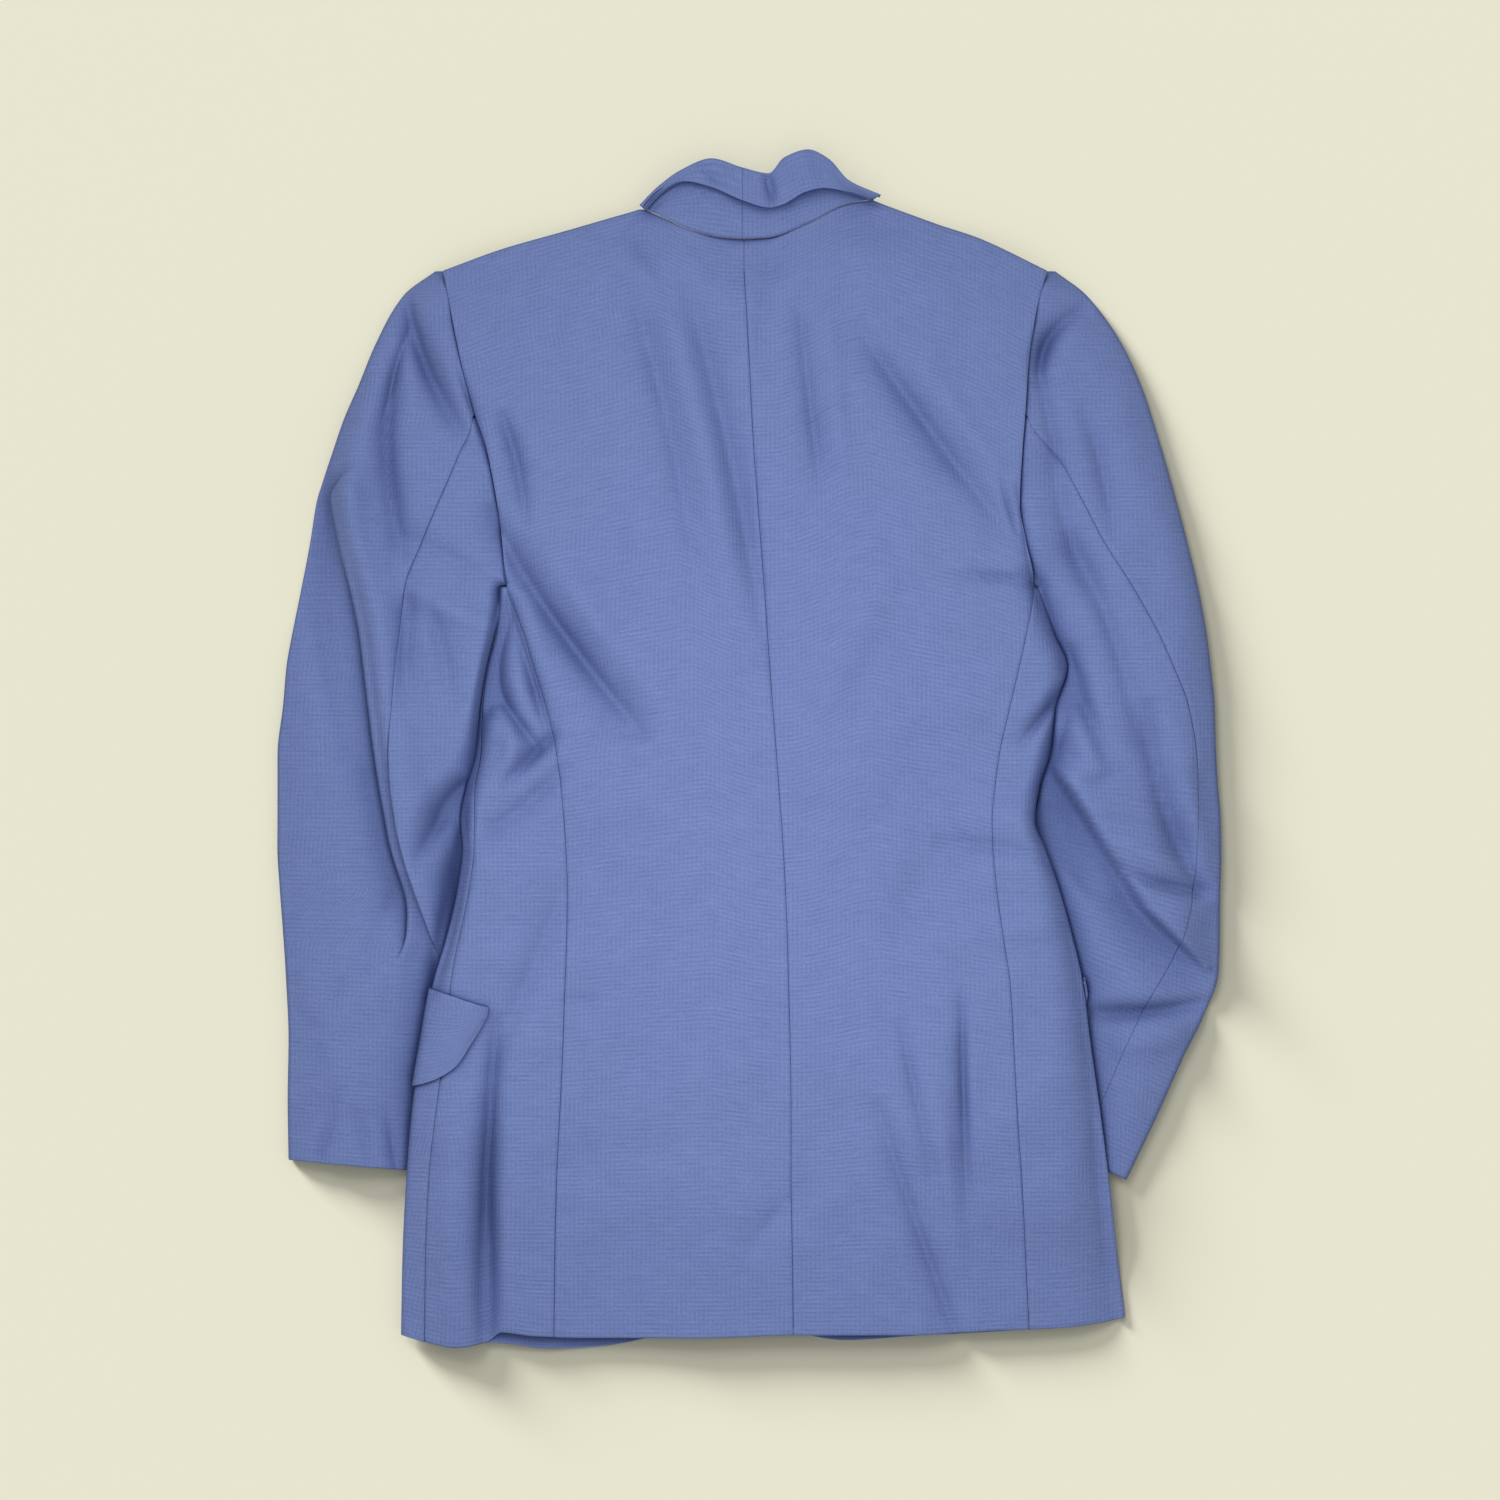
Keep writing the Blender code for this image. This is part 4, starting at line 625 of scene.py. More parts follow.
def spread(length, size, first=True, last=True):
    # shares from 0 to 1 of a length: short cells at a seam, even ones of about that size between
    short = np.array([0.0, 0.5, 1.1, 1.9, 3.0])
    start = short if first else short[:1]
    end = length - short[::-1] if last else np.array([length])
    count = max(int(round((end[0] - start[-1]) / size)), 1)
    return np.concatenate([start, np.linspace(start[-1], end[0], count + 1)[1:-1], end]) / length


def coons(left, right, top, bottom):
    # blend of left and right, plus the blend of top and bottom, less the blend of the corners
    across = np.concatenate([[0], np.cumsum(np.linalg.norm(np.diff(top, axis=0), axis=1))])
    down = np.concatenate([[0], np.cumsum(np.linalg.norm(np.diff(left, axis=0), axis=1))])
    u = (across / across[-1])[None, :, None]
    v = (down / down[-1])[:, None, None]
    ruled = (1 - u) * left[:, None] + u * right[:, None]
    ends = (1 - v) * top[None] + v * bottom[None]
    corners = ((1 - u) * (1 - v) * left[0] + u * (1 - v) * right[0]
               + (1 - u) * v * left[-1] + u * v * right[-1])
    return ruled + ends - corners


def joined(edge, start, end):
    # an edge whose ends are moved onto two corners, which fades out within 30 mm of each
    step = np.linalg.norm(np.diff(edge, axis=0), axis=1)
    run = np.concatenate([[0], np.cumsum(step)])[:, None]
    return edge + (start - edge[0]) * ramp(run, 30, 0) + (end - edge[-1]) * ramp(run[-1] - run, 30, 0)


def linear(code):
    # sRGB hex to linear: c / 12.92 below 0.04045, else ((c + 0.055) / 1.055) to the power 2.4
    values = [int(code[k:k + 2], 16) / 255 for k in (1, 3, 5)]
    return [c / 12.92 if c <= 0.04045 else ((c + 0.055) / 1.055) ** 2.4 for c in values] + [1]


def addNode(tree, kind, settings=(), links=()):
    # one node: settings are sockets by name or number or properties, links (source, output, input)
    node = tree.nodes.new(kind)
    for name, value in dict(settings).items():
        if isinstance(name, int) or name in node.inputs:
            node.inputs[name].default_value = value
        else:
            setattr(node, name, value)
    for source, output, target in links:
        tree.links.new(source.outputs[output], node.inputs[target])
    return node


def newMaterial(name, sockets):
    # material, its node tree, and its shader with these sockets set
    material = bpy.data.materials.new(name)
    material.use_nodes = True
    shader = material.node_tree.nodes["Principled BSDF"]
    for socket, value in sockets.items():
        shader.inputs[socket].default_value = value
    return material, material.node_tree, shader


wool = {
    "colour": "#8192c9",
    "shade": "#5b6ea4",
    # deep is the colour of the shade painted into folds, hollows and under edges; its reach is how far the
    # occlusion looks
    "deep": "#38487f",
    "paintedShadeReach": 0.042,
    "paintedShadeRange": (0.46, 0.97),  # painted shade: the ambient occlusion at which the cloth is painted wholly in the deep colour, and at which it keeps its own colour
    "repeat": 0.003,  # drawn at twice the real size, which is finer than the picture can show
    # scale, detail and roughness: patches of 18 mm, yarns of 1.6 mm, slubs of 14 mm, and weft yarns
    "noises": ((55.0, 2.0, 0.5), (640.0, 3.0, 0.7), (70.0, 3.0, 0.6), (1.0, 2.0, 0.6)),
    "stretch": (60.0, 620.0, 1.0),  # weft yarns 17 mm long and 1.6 mm wide, seen as faint cross lines
    "patches": (0.3, 0.75),
    "weave": 0.15,
    "slub": 0.25,
    "weft": 0.55,
    "middle": 0.4,
    "yarnHeight": 4.0,  # beside the weave's 1
    "fine": {"Strength": 0.9, "Distance": 0.0001},
    "coarse": {"Strength": 0.6, "Distance": 0.0006},
    "shader": {"Roughness": 0.88, "Specular IOR Level": 0.25, "Sheen Weight": 0.12,
               "Sheen Roughness": 0.45, "Sheen Tint": linear("#c5cff0")},
}


def woolMaterial():
    # woven hopsack wool: small blocks of paired yarns that give a matt, finely pebbled face, with shade
    # painted into its folds and hollows
    material, tree, shader = newMaterial("woven hopsack wool", wool["shader"])
    grain = addNode(tree, "ShaderNodeUVMap", {"uv_map": "Grain"})
    split = addNode(tree, "ShaderNodeSeparateXYZ", {}, [(grain, 0, 0)])
    waves = []
    for axis in (0, 1):
        turn = addNode(tree, "ShaderNodeMath", {"operation": "MULTIPLY", 1: 2 * math.pi / wool["repeat"]},
                       [(split, axis, 0)])
        waves.append(addNode(tree, "ShaderNodeMath", {"operation": "SINE"}, [(turn, 0, 0)]))
    stretched = addNode(tree, "ShaderNodeMapping", {"Scale": wool["stretch"]}, [(grain, 0, 0)])
    patch, yarn, slub, weft = [
        addNode(tree, "ShaderNodeTexNoise", {"Scale": scale, "Detail": detail, "Roughness": rough},
                [(source, 0, "Vector")])
        for source, (scale, detail, rough) in zip((grain, grain, grain, stretched), wool["noises"])]
    lowest, highest = wool["patches"]
    share = addNode(tree, "ShaderNodeMapRange", {"From Min": lowest, "From Max": highest}, [(patch, 0, 0)])
    # in some places the cross yarns catch the light, in others the lengthwise ones
    weave = addNode(tree, "ShaderNodeMix", {"data_type": "FLOAT"},
                    [(share, 0, 0), (waves[1], 0, 2), (waves[0], 0, 3)])
    tone = yarn
    for source, part in ((weave, "weave"), (slub, "slub"), (weft, "weft")):
        tone = addNode(tree, "ShaderNodeMath", {"operation": "MULTIPLY_ADD", 1: wool[part]},
                       [(source, 0, 0), (tone, 0, 2)])
    centred = addNode(tree, "ShaderNodeMath", {"operation": "SUBTRACT", 1: wool["middle"]}, [(tone, 0, 0)])
    cloth = addNode(tree, "ShaderNodeMix",
                    {"data_type": "RGBA", 6: linear(wool["shade"]), 7: linear(wool["colour"])},
                    [(centred, 0, 0)])
    # painted shade: how closed in a place is by cloth within the reach, from the ambient occlusion node
    near = addNode(tree, "ShaderNodeAmbientOcclusion", {"samples": 6, "Distance": wool["paintedShadeReach"]})
    lowest, highest = wool["paintedShadeRange"]
    paintedShadeRange = addNode(tree, "ShaderNodeMapRange", {"From Min": lowest, "From Max": highest}, [(near, 1, 0)])
    # painted shade: the colour goes towards the deep colour where other cloth closes a place in, deep in a
    # fold or under an edge
    whole = addNode(tree, "ShaderNodeMix", {"data_type": "RGBA", 6: linear(wool["deep"])},
                    [(paintedShadeRange, 0, 0), (cloth, 2, 7)])
    tree.links.new(whole.outputs[2], shader.inputs["Base Color"])
    height = addNode(tree, "ShaderNodeMath", {"operation": "MULTIPLY_ADD", 1: wool["yarnHeight"]},
                     [(yarn, 0, 0), (weave, 0, 2)])
    fine = addNode(tree, "ShaderNodeBump", wool["fine"], [(height, 0, "Height")])
    coarse = addNode(tree, "ShaderNodeBump", wool["coarse"],
                     [(slub, 0, "Height"), (fine, 0, "Normal")])
    tree.links.new(coarse.outputs[0], shader.inputs["Normal"])
    return material


woolCloth = woolMaterial()


def addMesh(name, points, faces, uv, material):
    # object from points in millimetres, with the map that the weave follows, if it has one
    mesh = bpy.data.meshes.new(name)
    mesh.from_pydata((points * mm).tolist(), [], faces)
    mesh.materials.append(material)
    mesh.shade_smooth()
    if uv is not None:
        loops = np.zeros(len(mesh.loops), np.int32)
        mesh.loops.foreach_get("vertex_index", loops)
        mesh.uv_layers.new(name="Grain").data.foreach_set("uv", (uv[loops] * mm).ravel())
    piece = bpy.data.objects.new(name, mesh)
    bpy.context.scene.collection.objects.link(piece)
    return piece


def clothPiece(node, grid, kept=None, wall=clothWall, anchor=0):
    # one cut piece as a closed shell: the grid's outer face, the same face moved in by the wall
    # along its normal, and a rim of half a flat ellipse between them
    rows, columns = grid.shape[:2]
    across, down = np.gradient(grid, axis=1), np.gradient(grid, axis=0)
    normal = np.cross(down, across)
    normal /= np.maximum(np.linalg.norm(normal, axis=-1, keepdims=True), 1e-9)
    index = np.arange(rows * columns).reshape(rows, columns)
    cells = np.stack([index[:-1, :-1], index[1:, :-1], index[1:, 1:], index[:-1, 1:]], axis=-1)
    cells = cells[kept] if kept is not None else cells.reshape(-1, 4)
    u = np.concatenate([np.zeros((rows, 1)), np.cumsum(
        np.linalg.norm(np.diff(grid, axis=1), axis=-1), axis=1)], axis=1)
    u = u - u[:, [anchor]] + grid[:, [anchor], 0]
    middle = grid[:, columns // 2]
    v = np.concatenate([[0], np.cumsum(np.linalg.norm(np.diff(middle, axis=0), axis=-1))])
    uv = np.stack([u, np.repeat(-v[:, None], columns, axis=1)], axis=-1).reshape(-1, 2)
    used, cells = np.unique(cells, return_inverse=True)
    cells = cells.reshape(-1, 4)
    outer, normal, uv = grid.reshape(-1, 3)[used], normal.reshape(-1, 3)[used], uv[used]
    count = len(outer)
    edges = np.stack([cells, np.roll(cells, -1, axis=1)], axis=-1).reshape(-1, 2)
    keys = edges.min(axis=1) * count + edges.max(axis=1)
    _, first, times = np.unique(keys, return_index=True, return_counts=True)
    border = edges[first[times == 1]]
    run = outer[border[:, 1]] - outer[border[:, 0]]
    away = np.cross(run, normal[border[:, 0]])
    outward = np.zeros((count, 3))
    np.add.at(outward, border[:, 0], away)
    np.add.at(outward, border[:, 1], away)
    rim = np.unique(border)
    outward = outward[rim] / np.maximum(np.linalg.norm(outward[rim], axis=1, keepdims=True), 1e-9)
    place = np.zeros(count, int)
    place[rim] = np.arange(len(rim))
    rings = [outer]
    for turn in (45, 90, 135):
        angle = math.radians(turn)
        rings.append(outer[rim] + wall / 2 * (math.cos(angle) - 1) * normal[rim]
                     + rimReach * math.sin(angle) * outward)
    rings.append(outer - wall * normal)
    starts = [0, count, count + len(rim), count + 2 * len(rim), count + 3 * len(rim)]
    faces = [cells, cells[:, ::-1] + starts[4]]
    ends = [border, *[place[border] + s for s in starts[1:4]], border + starts[4]]
    for upper, lower in zip(ends[:-1], ends[1:]):
        faces.append(np.stack([upper[:, 1], upper[:, 0], lower[:, 0], lower[:, 1]], axis=-1))
    allUv = np.concatenate([uv, uv[rim], uv[rim], uv[rim], uv])
    piece = addMesh(node + "_cloth", np.concatenate(rings), np.concatenate(faces).tolist(), allUv,
                    woolCloth)
    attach(piece, "root")
    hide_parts(node)
    print(node, "made of", sum(len(f) for f in faces), "faces")


backs = {"shoulder": 140.0, "round": (0.0, 0.7, 1.5, 2.7, 4.2), "share": (1.0, 0.68, 0.42, 0.2, 0.07),
         "drop": 2.3, "ease": 14.0, "cutL": (0.212, 0.761, 0.126), "cutR": (0.218, 0.765, 0.127)}


def backPanel(side):
    # coons patch of the shoulder and neck above, the seams beside and the hem below, on topFace
    onLeft, inwards = side == "L", inward[side]
    shoulder = along(shoulderLine[side], spread(backs["shoulder"], cell, onLeft, not onLeft))
    neck = along(neckLine[side], spread(neckLength[side], cell, not onLeft, onLeft))
    top = np.concatenate([shoulder[:-1], neck] if onLeft else [neck, shoulder[1:]])
    neckColumn = len(shoulder if onLeft else neck) - 1
    seam = column(bodyLines, "seam" + side, levels) + inwards * seamGap / 2
    outer = np.stack([seam, followHem(seam, levels, hemBack)], axis=-1)
    above = ramp(levels, -60, shoulderLevel) * (neckLine["L"]["y"][-1] - shoulderLevel)
    middle = column(bodyLines, "centre", levels + above) - inwards * seamGap / 2
    centre = np.stack([middle, followHem(middle, levels + above, hemBack)], axis=-1)
    left, right = (outer, centre) if onLeft else (centre, outer)
    top = joined(top, left[0], right[0])
    share = np.concatenate([[0], np.cumsum(np.linalg.norm(np.diff(top, axis=0), axis=1))])
    bottom = left[-1] + (share / share[-1])[:, None] * (right[-1] - left[-1])
    bottom[:, 1] = column(hemBack, "y", bottom[:, 0], "x")
    flat = coons(left, right, top, bottom)
    step = flat[2] - flat[0]
    step = step / np.linalg.norm(step, axis=1, keepdims=True)
    rounding = flat[0] + step * np.array(backs["round"])[:, None, None]
    flat = np.concatenate([rounding, flat[3:]])
    z = topFace(flat[..., 0], flat[..., 1])
    drop = backs["drop"] * ramp(np.linalg.norm(top - top[neckColumn], axis=1), 0, backs["ease"])
    drop[slice(neckColumn, None) if onLeft else slice(neckColumn + 1)] = 0
    z[:len(rounding)] -= drop * np.array(backs["share"])[:, None]
    z[-5:] -= hemTurn[:, None]
    clothPiece("back_" + full[side], np.dstack([flat, z]),
               anchor=-1 if onLeft else 0)


sides = {"frontTurnR": -12.0, "bendGap": 0.6, "gapL": 0.14, "wideL": 70.0, "wideR": 58.0, "cell": 2.0,
         "cutL": (0.101, 0.52, 0.0367), "cutR": (0.078, 0.51, 0.0307)}


def sidePanel(side):
    # rows of the tube from the front's seam, round the side, to the princess seam
    low = levels[underarmRow:]
    end = turnAt(side, low, column(bodyLines, "seam" + side, low)) - seamGap / 2
    if side == "L":
        turn = column(bodyLines, "turnL", low)
        start = turn + sides["gapL"] / 2 + sides["bendGap"] * ramp(turn, arc + laid / 2, arc)
        turns = start[:, None] + (end - start)[:, None] * spread(sides["wideL"], sides["cell"])
    else:
        bend = np.concatenate([sides["frontTurnR"] + seamGap / 2 + np.array([0, 0.5, 1.3, 2.6, 4.6]),
                               np.linspace(-arc, arc, 15)])
        rest = arc + (end - arc)[:, None] * spread(sides["wideR"], cell, False, True)[1:]
        turns = np.concatenate([np.repeat(bend[None], len(low), axis=0), rest], axis=1)
    x, z = tubePoint(side, low[:, None], turns)
    z[-5:] -= hemTurn[:, None] * (turns[-5:] > arc)
    grid = np.dstack([x, followHem(x, low[:, None], hemBack), z])
    clothPiece("side_panel_" + full[side], grid if side == "L" else grid[:, ::-1],
               anchor=-1 if side == "L" else 0)


# Creases of the fronts' lower face, dented away from the floor, as the ones above are
frontCreases = table(
    "x1 y1 x2 y2 wide height",
    (-150, 90, -96, 20, 9, 1.7), (-120, 250, -100, 160, 12, 1.3), (-100, -40, -60, -110, 11, 1.2),
    (-60, -240, -72, -370, 12, 1.6), (-140, -250, -128, -360, 9, 1.4), (150, 130, 96, 70, 9, 1.7),
    (120, 270, 108, 190, 12, 1.4), (150, -20, 96, -60, 10, 1.3), (120, -250, 132, -372, 11, 1.6),
    (70, -260, 62, -350, 9, 1.1),
)


def dents(x, y):
    # straight soft dents: a bell across each, dying out past its ends
    total = np.zeros(np.shape(x))
    for x1, y1, x2, y2, wide, height in zip(*frontCreases.values()):
        length = math.hypot(x2 - x1, y2 - y1)
        ux, uy = (x2 - x1) / length, (y2 - y1) / length
        run = (x - x1) * ux + (y - y1) * uy
        past = np.maximum(np.maximum(-run, run - length), 0)
        total += height * bell((x - x1) * uy - (y - y1) * ux, wide) * bell(past, 1.6 * wide)
    return total


fronts = {"wide": 205.0, "cellsL": 50, "cellsR": 56, "rows": 2, "atSide": (6, 26), "atRoll": (4, 30),
          "cutL": (0.389, 0.749, 0.163), "cutR": (0.316, 0.761, 0.134)}


def frontPanel(side):
    # coons patch from the front edge along the floor side; the left one then turns up round the side
    onLeft, inwards, hem = side == "L", inward[side], hemFront[side]
    neckY = shoulderLine[side]["y"][-1 if onLeft else 0]
    rows = levels if onLeft else levels[::fronts["rows"]]
    above = isAbove(rows, underarmLevel)
    seam = column(bodyLines, "seam" + side, rows) + inwards * seamGap / 2
    turns = -arc if onLeft else sides["frontTurnR"] - seamGap / 2
    atSide, _ = tubePoint(side, rows, turns)
    outerX = np.where(above, seam, atSide)
    outer = np.stack([outerX, followHem(outerX, rows, hem)], axis=-1)
    edgeLevels = np.interp(rows, [hemLevel, shoulderLevel], [hem["y"][-1 if onLeft else 0], neckY])
    inner = np.stack([rollLine(side, edgeLevels), edgeLevels], axis=-1)
    shares = spread(fronts["wide"], fronts["wide"] / fronts["cells" + side])
    top = along(shoulderLine[side], 1 - shares if onLeft else shares)
    bottomX = inner[-1, 0] + shares * (outer[-1, 0] - inner[-1, 0])
    bottom = np.stack([bottomX, column(hem, "y", bottomX, "x")], axis=-1)
    flat = coons(inner, outer, joined(top, inner[0], outer[0]), joined(bottom, inner[-1], outer[-1]))
    flat = flat if onLeft else flat[:, ::-1]
    x, y = flat[..., 0], flat[..., 1]
    fade = ramp(np.abs(x - column(bodyLines, "side" + side, y)), *fronts["atSide"])
    fade = fade * ramp(inwards * (rollLine(side, y) - x), *fronts["atRoll"])
    z = underFace(side, x, y) + dents(x, y) * fade
    grid = np.dstack([flat, z])
    if not onLeft:
        clothPiece("front_right", grid)
        return
    end = column(bodyLines, "turnL", rows) - sides["gapL"] / 2
    steps = np.concatenate([
        np.repeat(np.linspace(-arc, 0, 8)[None, 1:], len(rows), axis=0),
        end[:, None] * np.concatenate([np.linspace(0, 0.86, 12)[1:], [0.91, 0.95, 0.98, 1.0]]),
    ], axis=1)
    x, z = tubePoint(side, rows[:, None], steps)
    wrap = np.dstack([x, followHem(x, rows[:, None], hem), z])
    # above the underarm there is no wrap, and its columns only go on level for the normals there
    step = grid[:underarmRow, -1:] - grid[:underarmRow, -2:-1]
    wrap[:underarmRow] = grid[:underarmRow, -1:] + step * np.arange(1, wrap.shape[1] + 1)[:, None]
    grid = np.concatenate([grid, wrap], axis=1)
    kept = np.ones((grid.shape[0] - 1, grid.shape[1] - 1), bool)
    kept[:underarmRow, len(shares) - 1:] = False
    clothPiece("front_left", grid, kept)


def sleeveRows(side, rows):
    # columns of the sleeve's table at each row, with the armhole for the inner edge above
    read = {name: column(sleeveLine[side], name, rows) for name in sleeveLine[side]}
    inwards, beside = inward[side], inward[side] * seamGap / 2
    hole = isAbove(rows, underarmLevel)
    read["inner"] = np.where(hole, column(bodyLines, "seam" + side, rows), read["inner"]) - beside
    read["seam"] = np.where(isAbove(rows, sleeveSeamLevel), read["inner"] + beside, read["seam"])
    read["level"] = rows
    beneath = sleeves["beneath"] * ramp(rows, *sleeves["beneathFrom"])
    reach = read["tall"] / 2 + np.maximum(beneath, 2 * gap)
    read["floorEnd"] = np.where(hole, read["inner"], read["inner"] - inwards * reach)
    return {name: values[:, None] for name, values in read.items()}


def onRow(row, x):
    # Y of a place on a row of the sleeve, which tilts evenly from the outer to the inner end
    share = (x - row["outer"]) / (row["inner"] - row["outer"])
    return row["level"] + share * row["tilt"]


sleeves = {"deepest": -2.6, "elbowRise": 7.4, "elbowStep": 6.4, "elbowReach": 44.0,
           "elbowHollow": (-52, -6), "elbowLow": 0.88, "elbowEnd": (4, 26), "atOuter": (3, 30),
           "atArmhole": (4, 50), "thin": (4.0, 5.2), "beneath": 14.0, "beneathFrom": (138, 60),
           "seamEndL": -60.0, "seamEndR": -20.0, "cuffL": -275.0, "cuffR": -288.4, "rows": 168,
           "roundest": 0.45, "top": 56.0,
           "upperL": (0.244, 0.639, 0.13), "upperR": (0.18, 0.671, 0.0902),
           "underL": (0.091, 0.528, 0.03), "underR": (0.153, 0.567, 0.0556)}


def atElbow(x, y):
    # distance from the fold line of the right elbow, and how far past its sharp end a place is
    start = np.hypot(x - elbowFold["x"][0], y - elbowFold["y"][0])
    return nearest(x, y, elbowFold["x"], elbowFold["y"])[0], ramp(start, *sleeves["elbowEnd"])


def sleeveRelief(side, x, y):
    # fullness that dies out at the outer edge and where the body lies, creases and seams
    rows = sleeveLine[side]
    away, _ = nearest(x, y, rows["outer"], rows["level"])
    edge = bulge(np.abs(away), column(rolls, "outer" + side, y))
    away, _ = nearest(x, y, column(bodyLines, "side" + side, sideSpots), sideSpots)
    beside = np.where(y > underarmLevel, np.abs(away), -inward[side] * away)
    edge = edge * bulge(beside, column(rolls, "sleeve" + side, y))
    hole = np.linspace(shoulderLevel, underarmLevel, 20)
    seam, _ = nearest(x, y, column(bodyLines, "seam" + side, hole), hole)
    puff = column(rolls, "puff" + side, y)
    puff = relief["puff"] + (puff - relief["puff"]) * ramp(np.abs(seam), *sleeves["atArmhole"])
    if side == "R":
        step, beyond = atElbow(x, y)
        beneath = ramp(step, 0, -sleeves["elbowStep"]) * ramp(step, *sleeves["elbowHollow"])
        puff = puff * (1 - sleeves["elbowLow"] * beneath * beyond)
    total = puff * edge + drape(x, y) * between(relief["atEdge"], edge) + creaseHeight(x, y, 1)
    total = keptAbove(total, sleeves["deepest"])
    spots = np.linspace(sleeveSeamLevel - 8, sleeves["seamEnd" + side], 30)
    back, share = nearest(x, y, column(rows, "seam", spots), spots)
    total = total + seamLine(back, y) * ramp(share, 1, 0.9)
    return total + seamLine(seam, y)


def sleeveTop(side, x, y, tall):
    # height of a sleeve's upper face, with the step of the right elbow
    step, beyond = atElbow(x, y)
    outer, _ = nearest(x, y, sleeveLine["R"]["outer"], sleeveLine["R"]["level"])
    elbow = (sleeves["elbowRise"] * beyond * ramp(step, -sleeves["elbowStep"], 0)
             * ramp(step, sleeves["elbowReach"], 0) * ramp(np.abs(outer), *sleeves["atOuter"]))
    return tall + (elbow * (x > 0) + sleeveRelief(side, x, y)) * ramp(tall, *sleeves["thin"])


def bent(x, z, end, near, far, radius, angle):
    # heights round a sleeve's edge: the face ends there at column end, with its slope from two others
    slope = (z[:, [far]] - z[:, [near]]) / np.abs(x[:, [far]] - x[:, [near]])
    half = z[:, [end]] / 2
    return half + rounded(angle, half, slope * radius)


upperRight = {"top": 96.0, "cell": 2.0, "bend": 14, "floor": 26}


def upperSleeveRight(row):
    # each row: from the back seam outwards on top, half an ellipse round the outer edge, and back
    tall, outer, seam = row["tall"], row["outer"], row["seam"] + seamGap / 2
    radius = np.minimum(tall / 2, sleeves["roundest"] * np.abs(outer - row["seam"]))
    turn = outer - radius
    xTop = seam + (turn - seam) * spread(upperRight["top"], upperRight["cell"], True, False)
    zTop = sleeveTop("R", xTop, onRow(row, xTop), tall)
    angle = np.linspace(math.pi / 2, -math.pi / 2, upperRight["bend"])[1:]
    xFloor = turn + (row["floorEnd"] - turn) * np.linspace(0, 1, upperRight["floor"])[1:]
    x = np.concatenate([xTop, turn + radius * np.cos(angle), xFloor], axis=1)
    zBend = bent(xTop, zTop, -1, -1, -2, radius, angle)
    z = np.concatenate([zTop, zBend, 0 * xFloor], axis=1)
    return np.stack([x, onRow(row, x), z], axis=-1)


fold = {"nose": 3.7, "tuckGap": 0.7, "back": 3.9, "settle": 24.0, "dip": 5.5, "crest": 1.8,
        "dipWide": 15.0, "dipEnd": (16, 2), "lowest": 2.9, "strip": 30, "bend": 14, "behind": 34.0,
        "cell": 2.0}


def overTuck(row, x):
    # how much the left sleeve's upper layer is raised over the tuck, with a crest behind the nose
    end = row["fold"] + fold["nose"] + row["tuck"] + fold["back"]
    crest = fold["crest"] * bell(x - row["fold"] - 11, 8) * ramp(x, row["fold"] + 3, row["fold"] + 9)
    return row["rise"] * ((fold["tuckGap"] + 2 * fold["nose"]) * ramp(x, end + fold["settle"], end) + crest)


def upperSleeveLeft(row):
    # each row: along the floor outwards, round the outer edge, inwards under the long fold, back
    # on itself in a narrow valley, round the fold's nose, and on to the back seam
    tall, outer, rise, tuck = row["tall"], row["outer"], row["rise"], row["tuck"]
    nose = fold["nose"]
    seam = row["seam"] - seamGap / 2
    radius = np.minimum(tall / 2, sleeves["roundest"] * np.abs(outer - seam))
    xFloor = row["floorEnd"] + (outer + radius - row["floorEnd"]) * np.linspace(0, 1, fold["strip"])
    angle = np.linspace(-math.pi / 2, math.pi / 2, fold["bend"])[1:-1]
    xBend = outer + radius - radius * np.cos(angle)
    valley, half = nose + tuck, fold["tuckGap"] / 2
    turn = np.linspace(-math.pi / 2, math.pi / 2, 5)
    xTurn, zTurn = valley + half * np.cos(turn), half + half * np.sin(turn)
    back = np.array([0.66, 0.33])
    xBack = nose + tuck * back
    turn = np.linspace(-math.pi / 2, math.pi / 2, 12)
    xNose, zNose = nose - nose * np.cos(turn), fold["tuckGap"] + nose + nose * np.sin(turn)
    spotX = np.concatenate([xTurn, xBack, xNose + 0 * tall], axis=1)
    spotZ = np.concatenate([zTurn, 0 * back + fold["tuckGap"], zNose])
    room = seam - outer - radius
    start = np.clip((row["fold"] - outer - radius) / room, 0.1, 0.55)
    flatX = outer + radius + room * (start + np.minimum(0.3, 14 / room) * np.linspace(0, 1, len(spotZ)))
    xFold = (1 - rise) * flatX + rise * (row["fold"] + spotX)
    xStrip = outer + radius + (xFold[:, :1] - outer - radius) * np.linspace(0, 1, fold["strip"])[:-1]
    xRest = xFold[:, -1:] + (seam - xFold[:, -1:]) * spread(fold["behind"], fold["cell"], False, True)[1:]
    x = np.concatenate([xStrip, xFold, xRest], axis=1)
    plain = sleeveTop("L", x, onRow(row, x), tall)
    past = x - row["fold"]
    dip = fold["dip"] * rise * bell(np.minimum(past, 0), fold["dipWide"]) * ramp(past, *fold["dipEnd"])
    plain = keptAbove(plain - dip, fold["lowest"])
    plain[:, 0] = plain[:, 1]
    risen = np.concatenate([np.zeros(xStrip.shape), rise * spotZ, overTuck(row, xRest)], axis=1)
    z = plain + risen
    zBend = bent(x, z, 0, 1, 2, radius, angle)
    x = np.concatenate([xFloor, xBend, x], axis=1)
    z = np.concatenate([np.zeros(xFloor.shape), zBend, z], axis=1)
    return np.stack([x, onRow(row, x), z], axis=-1)


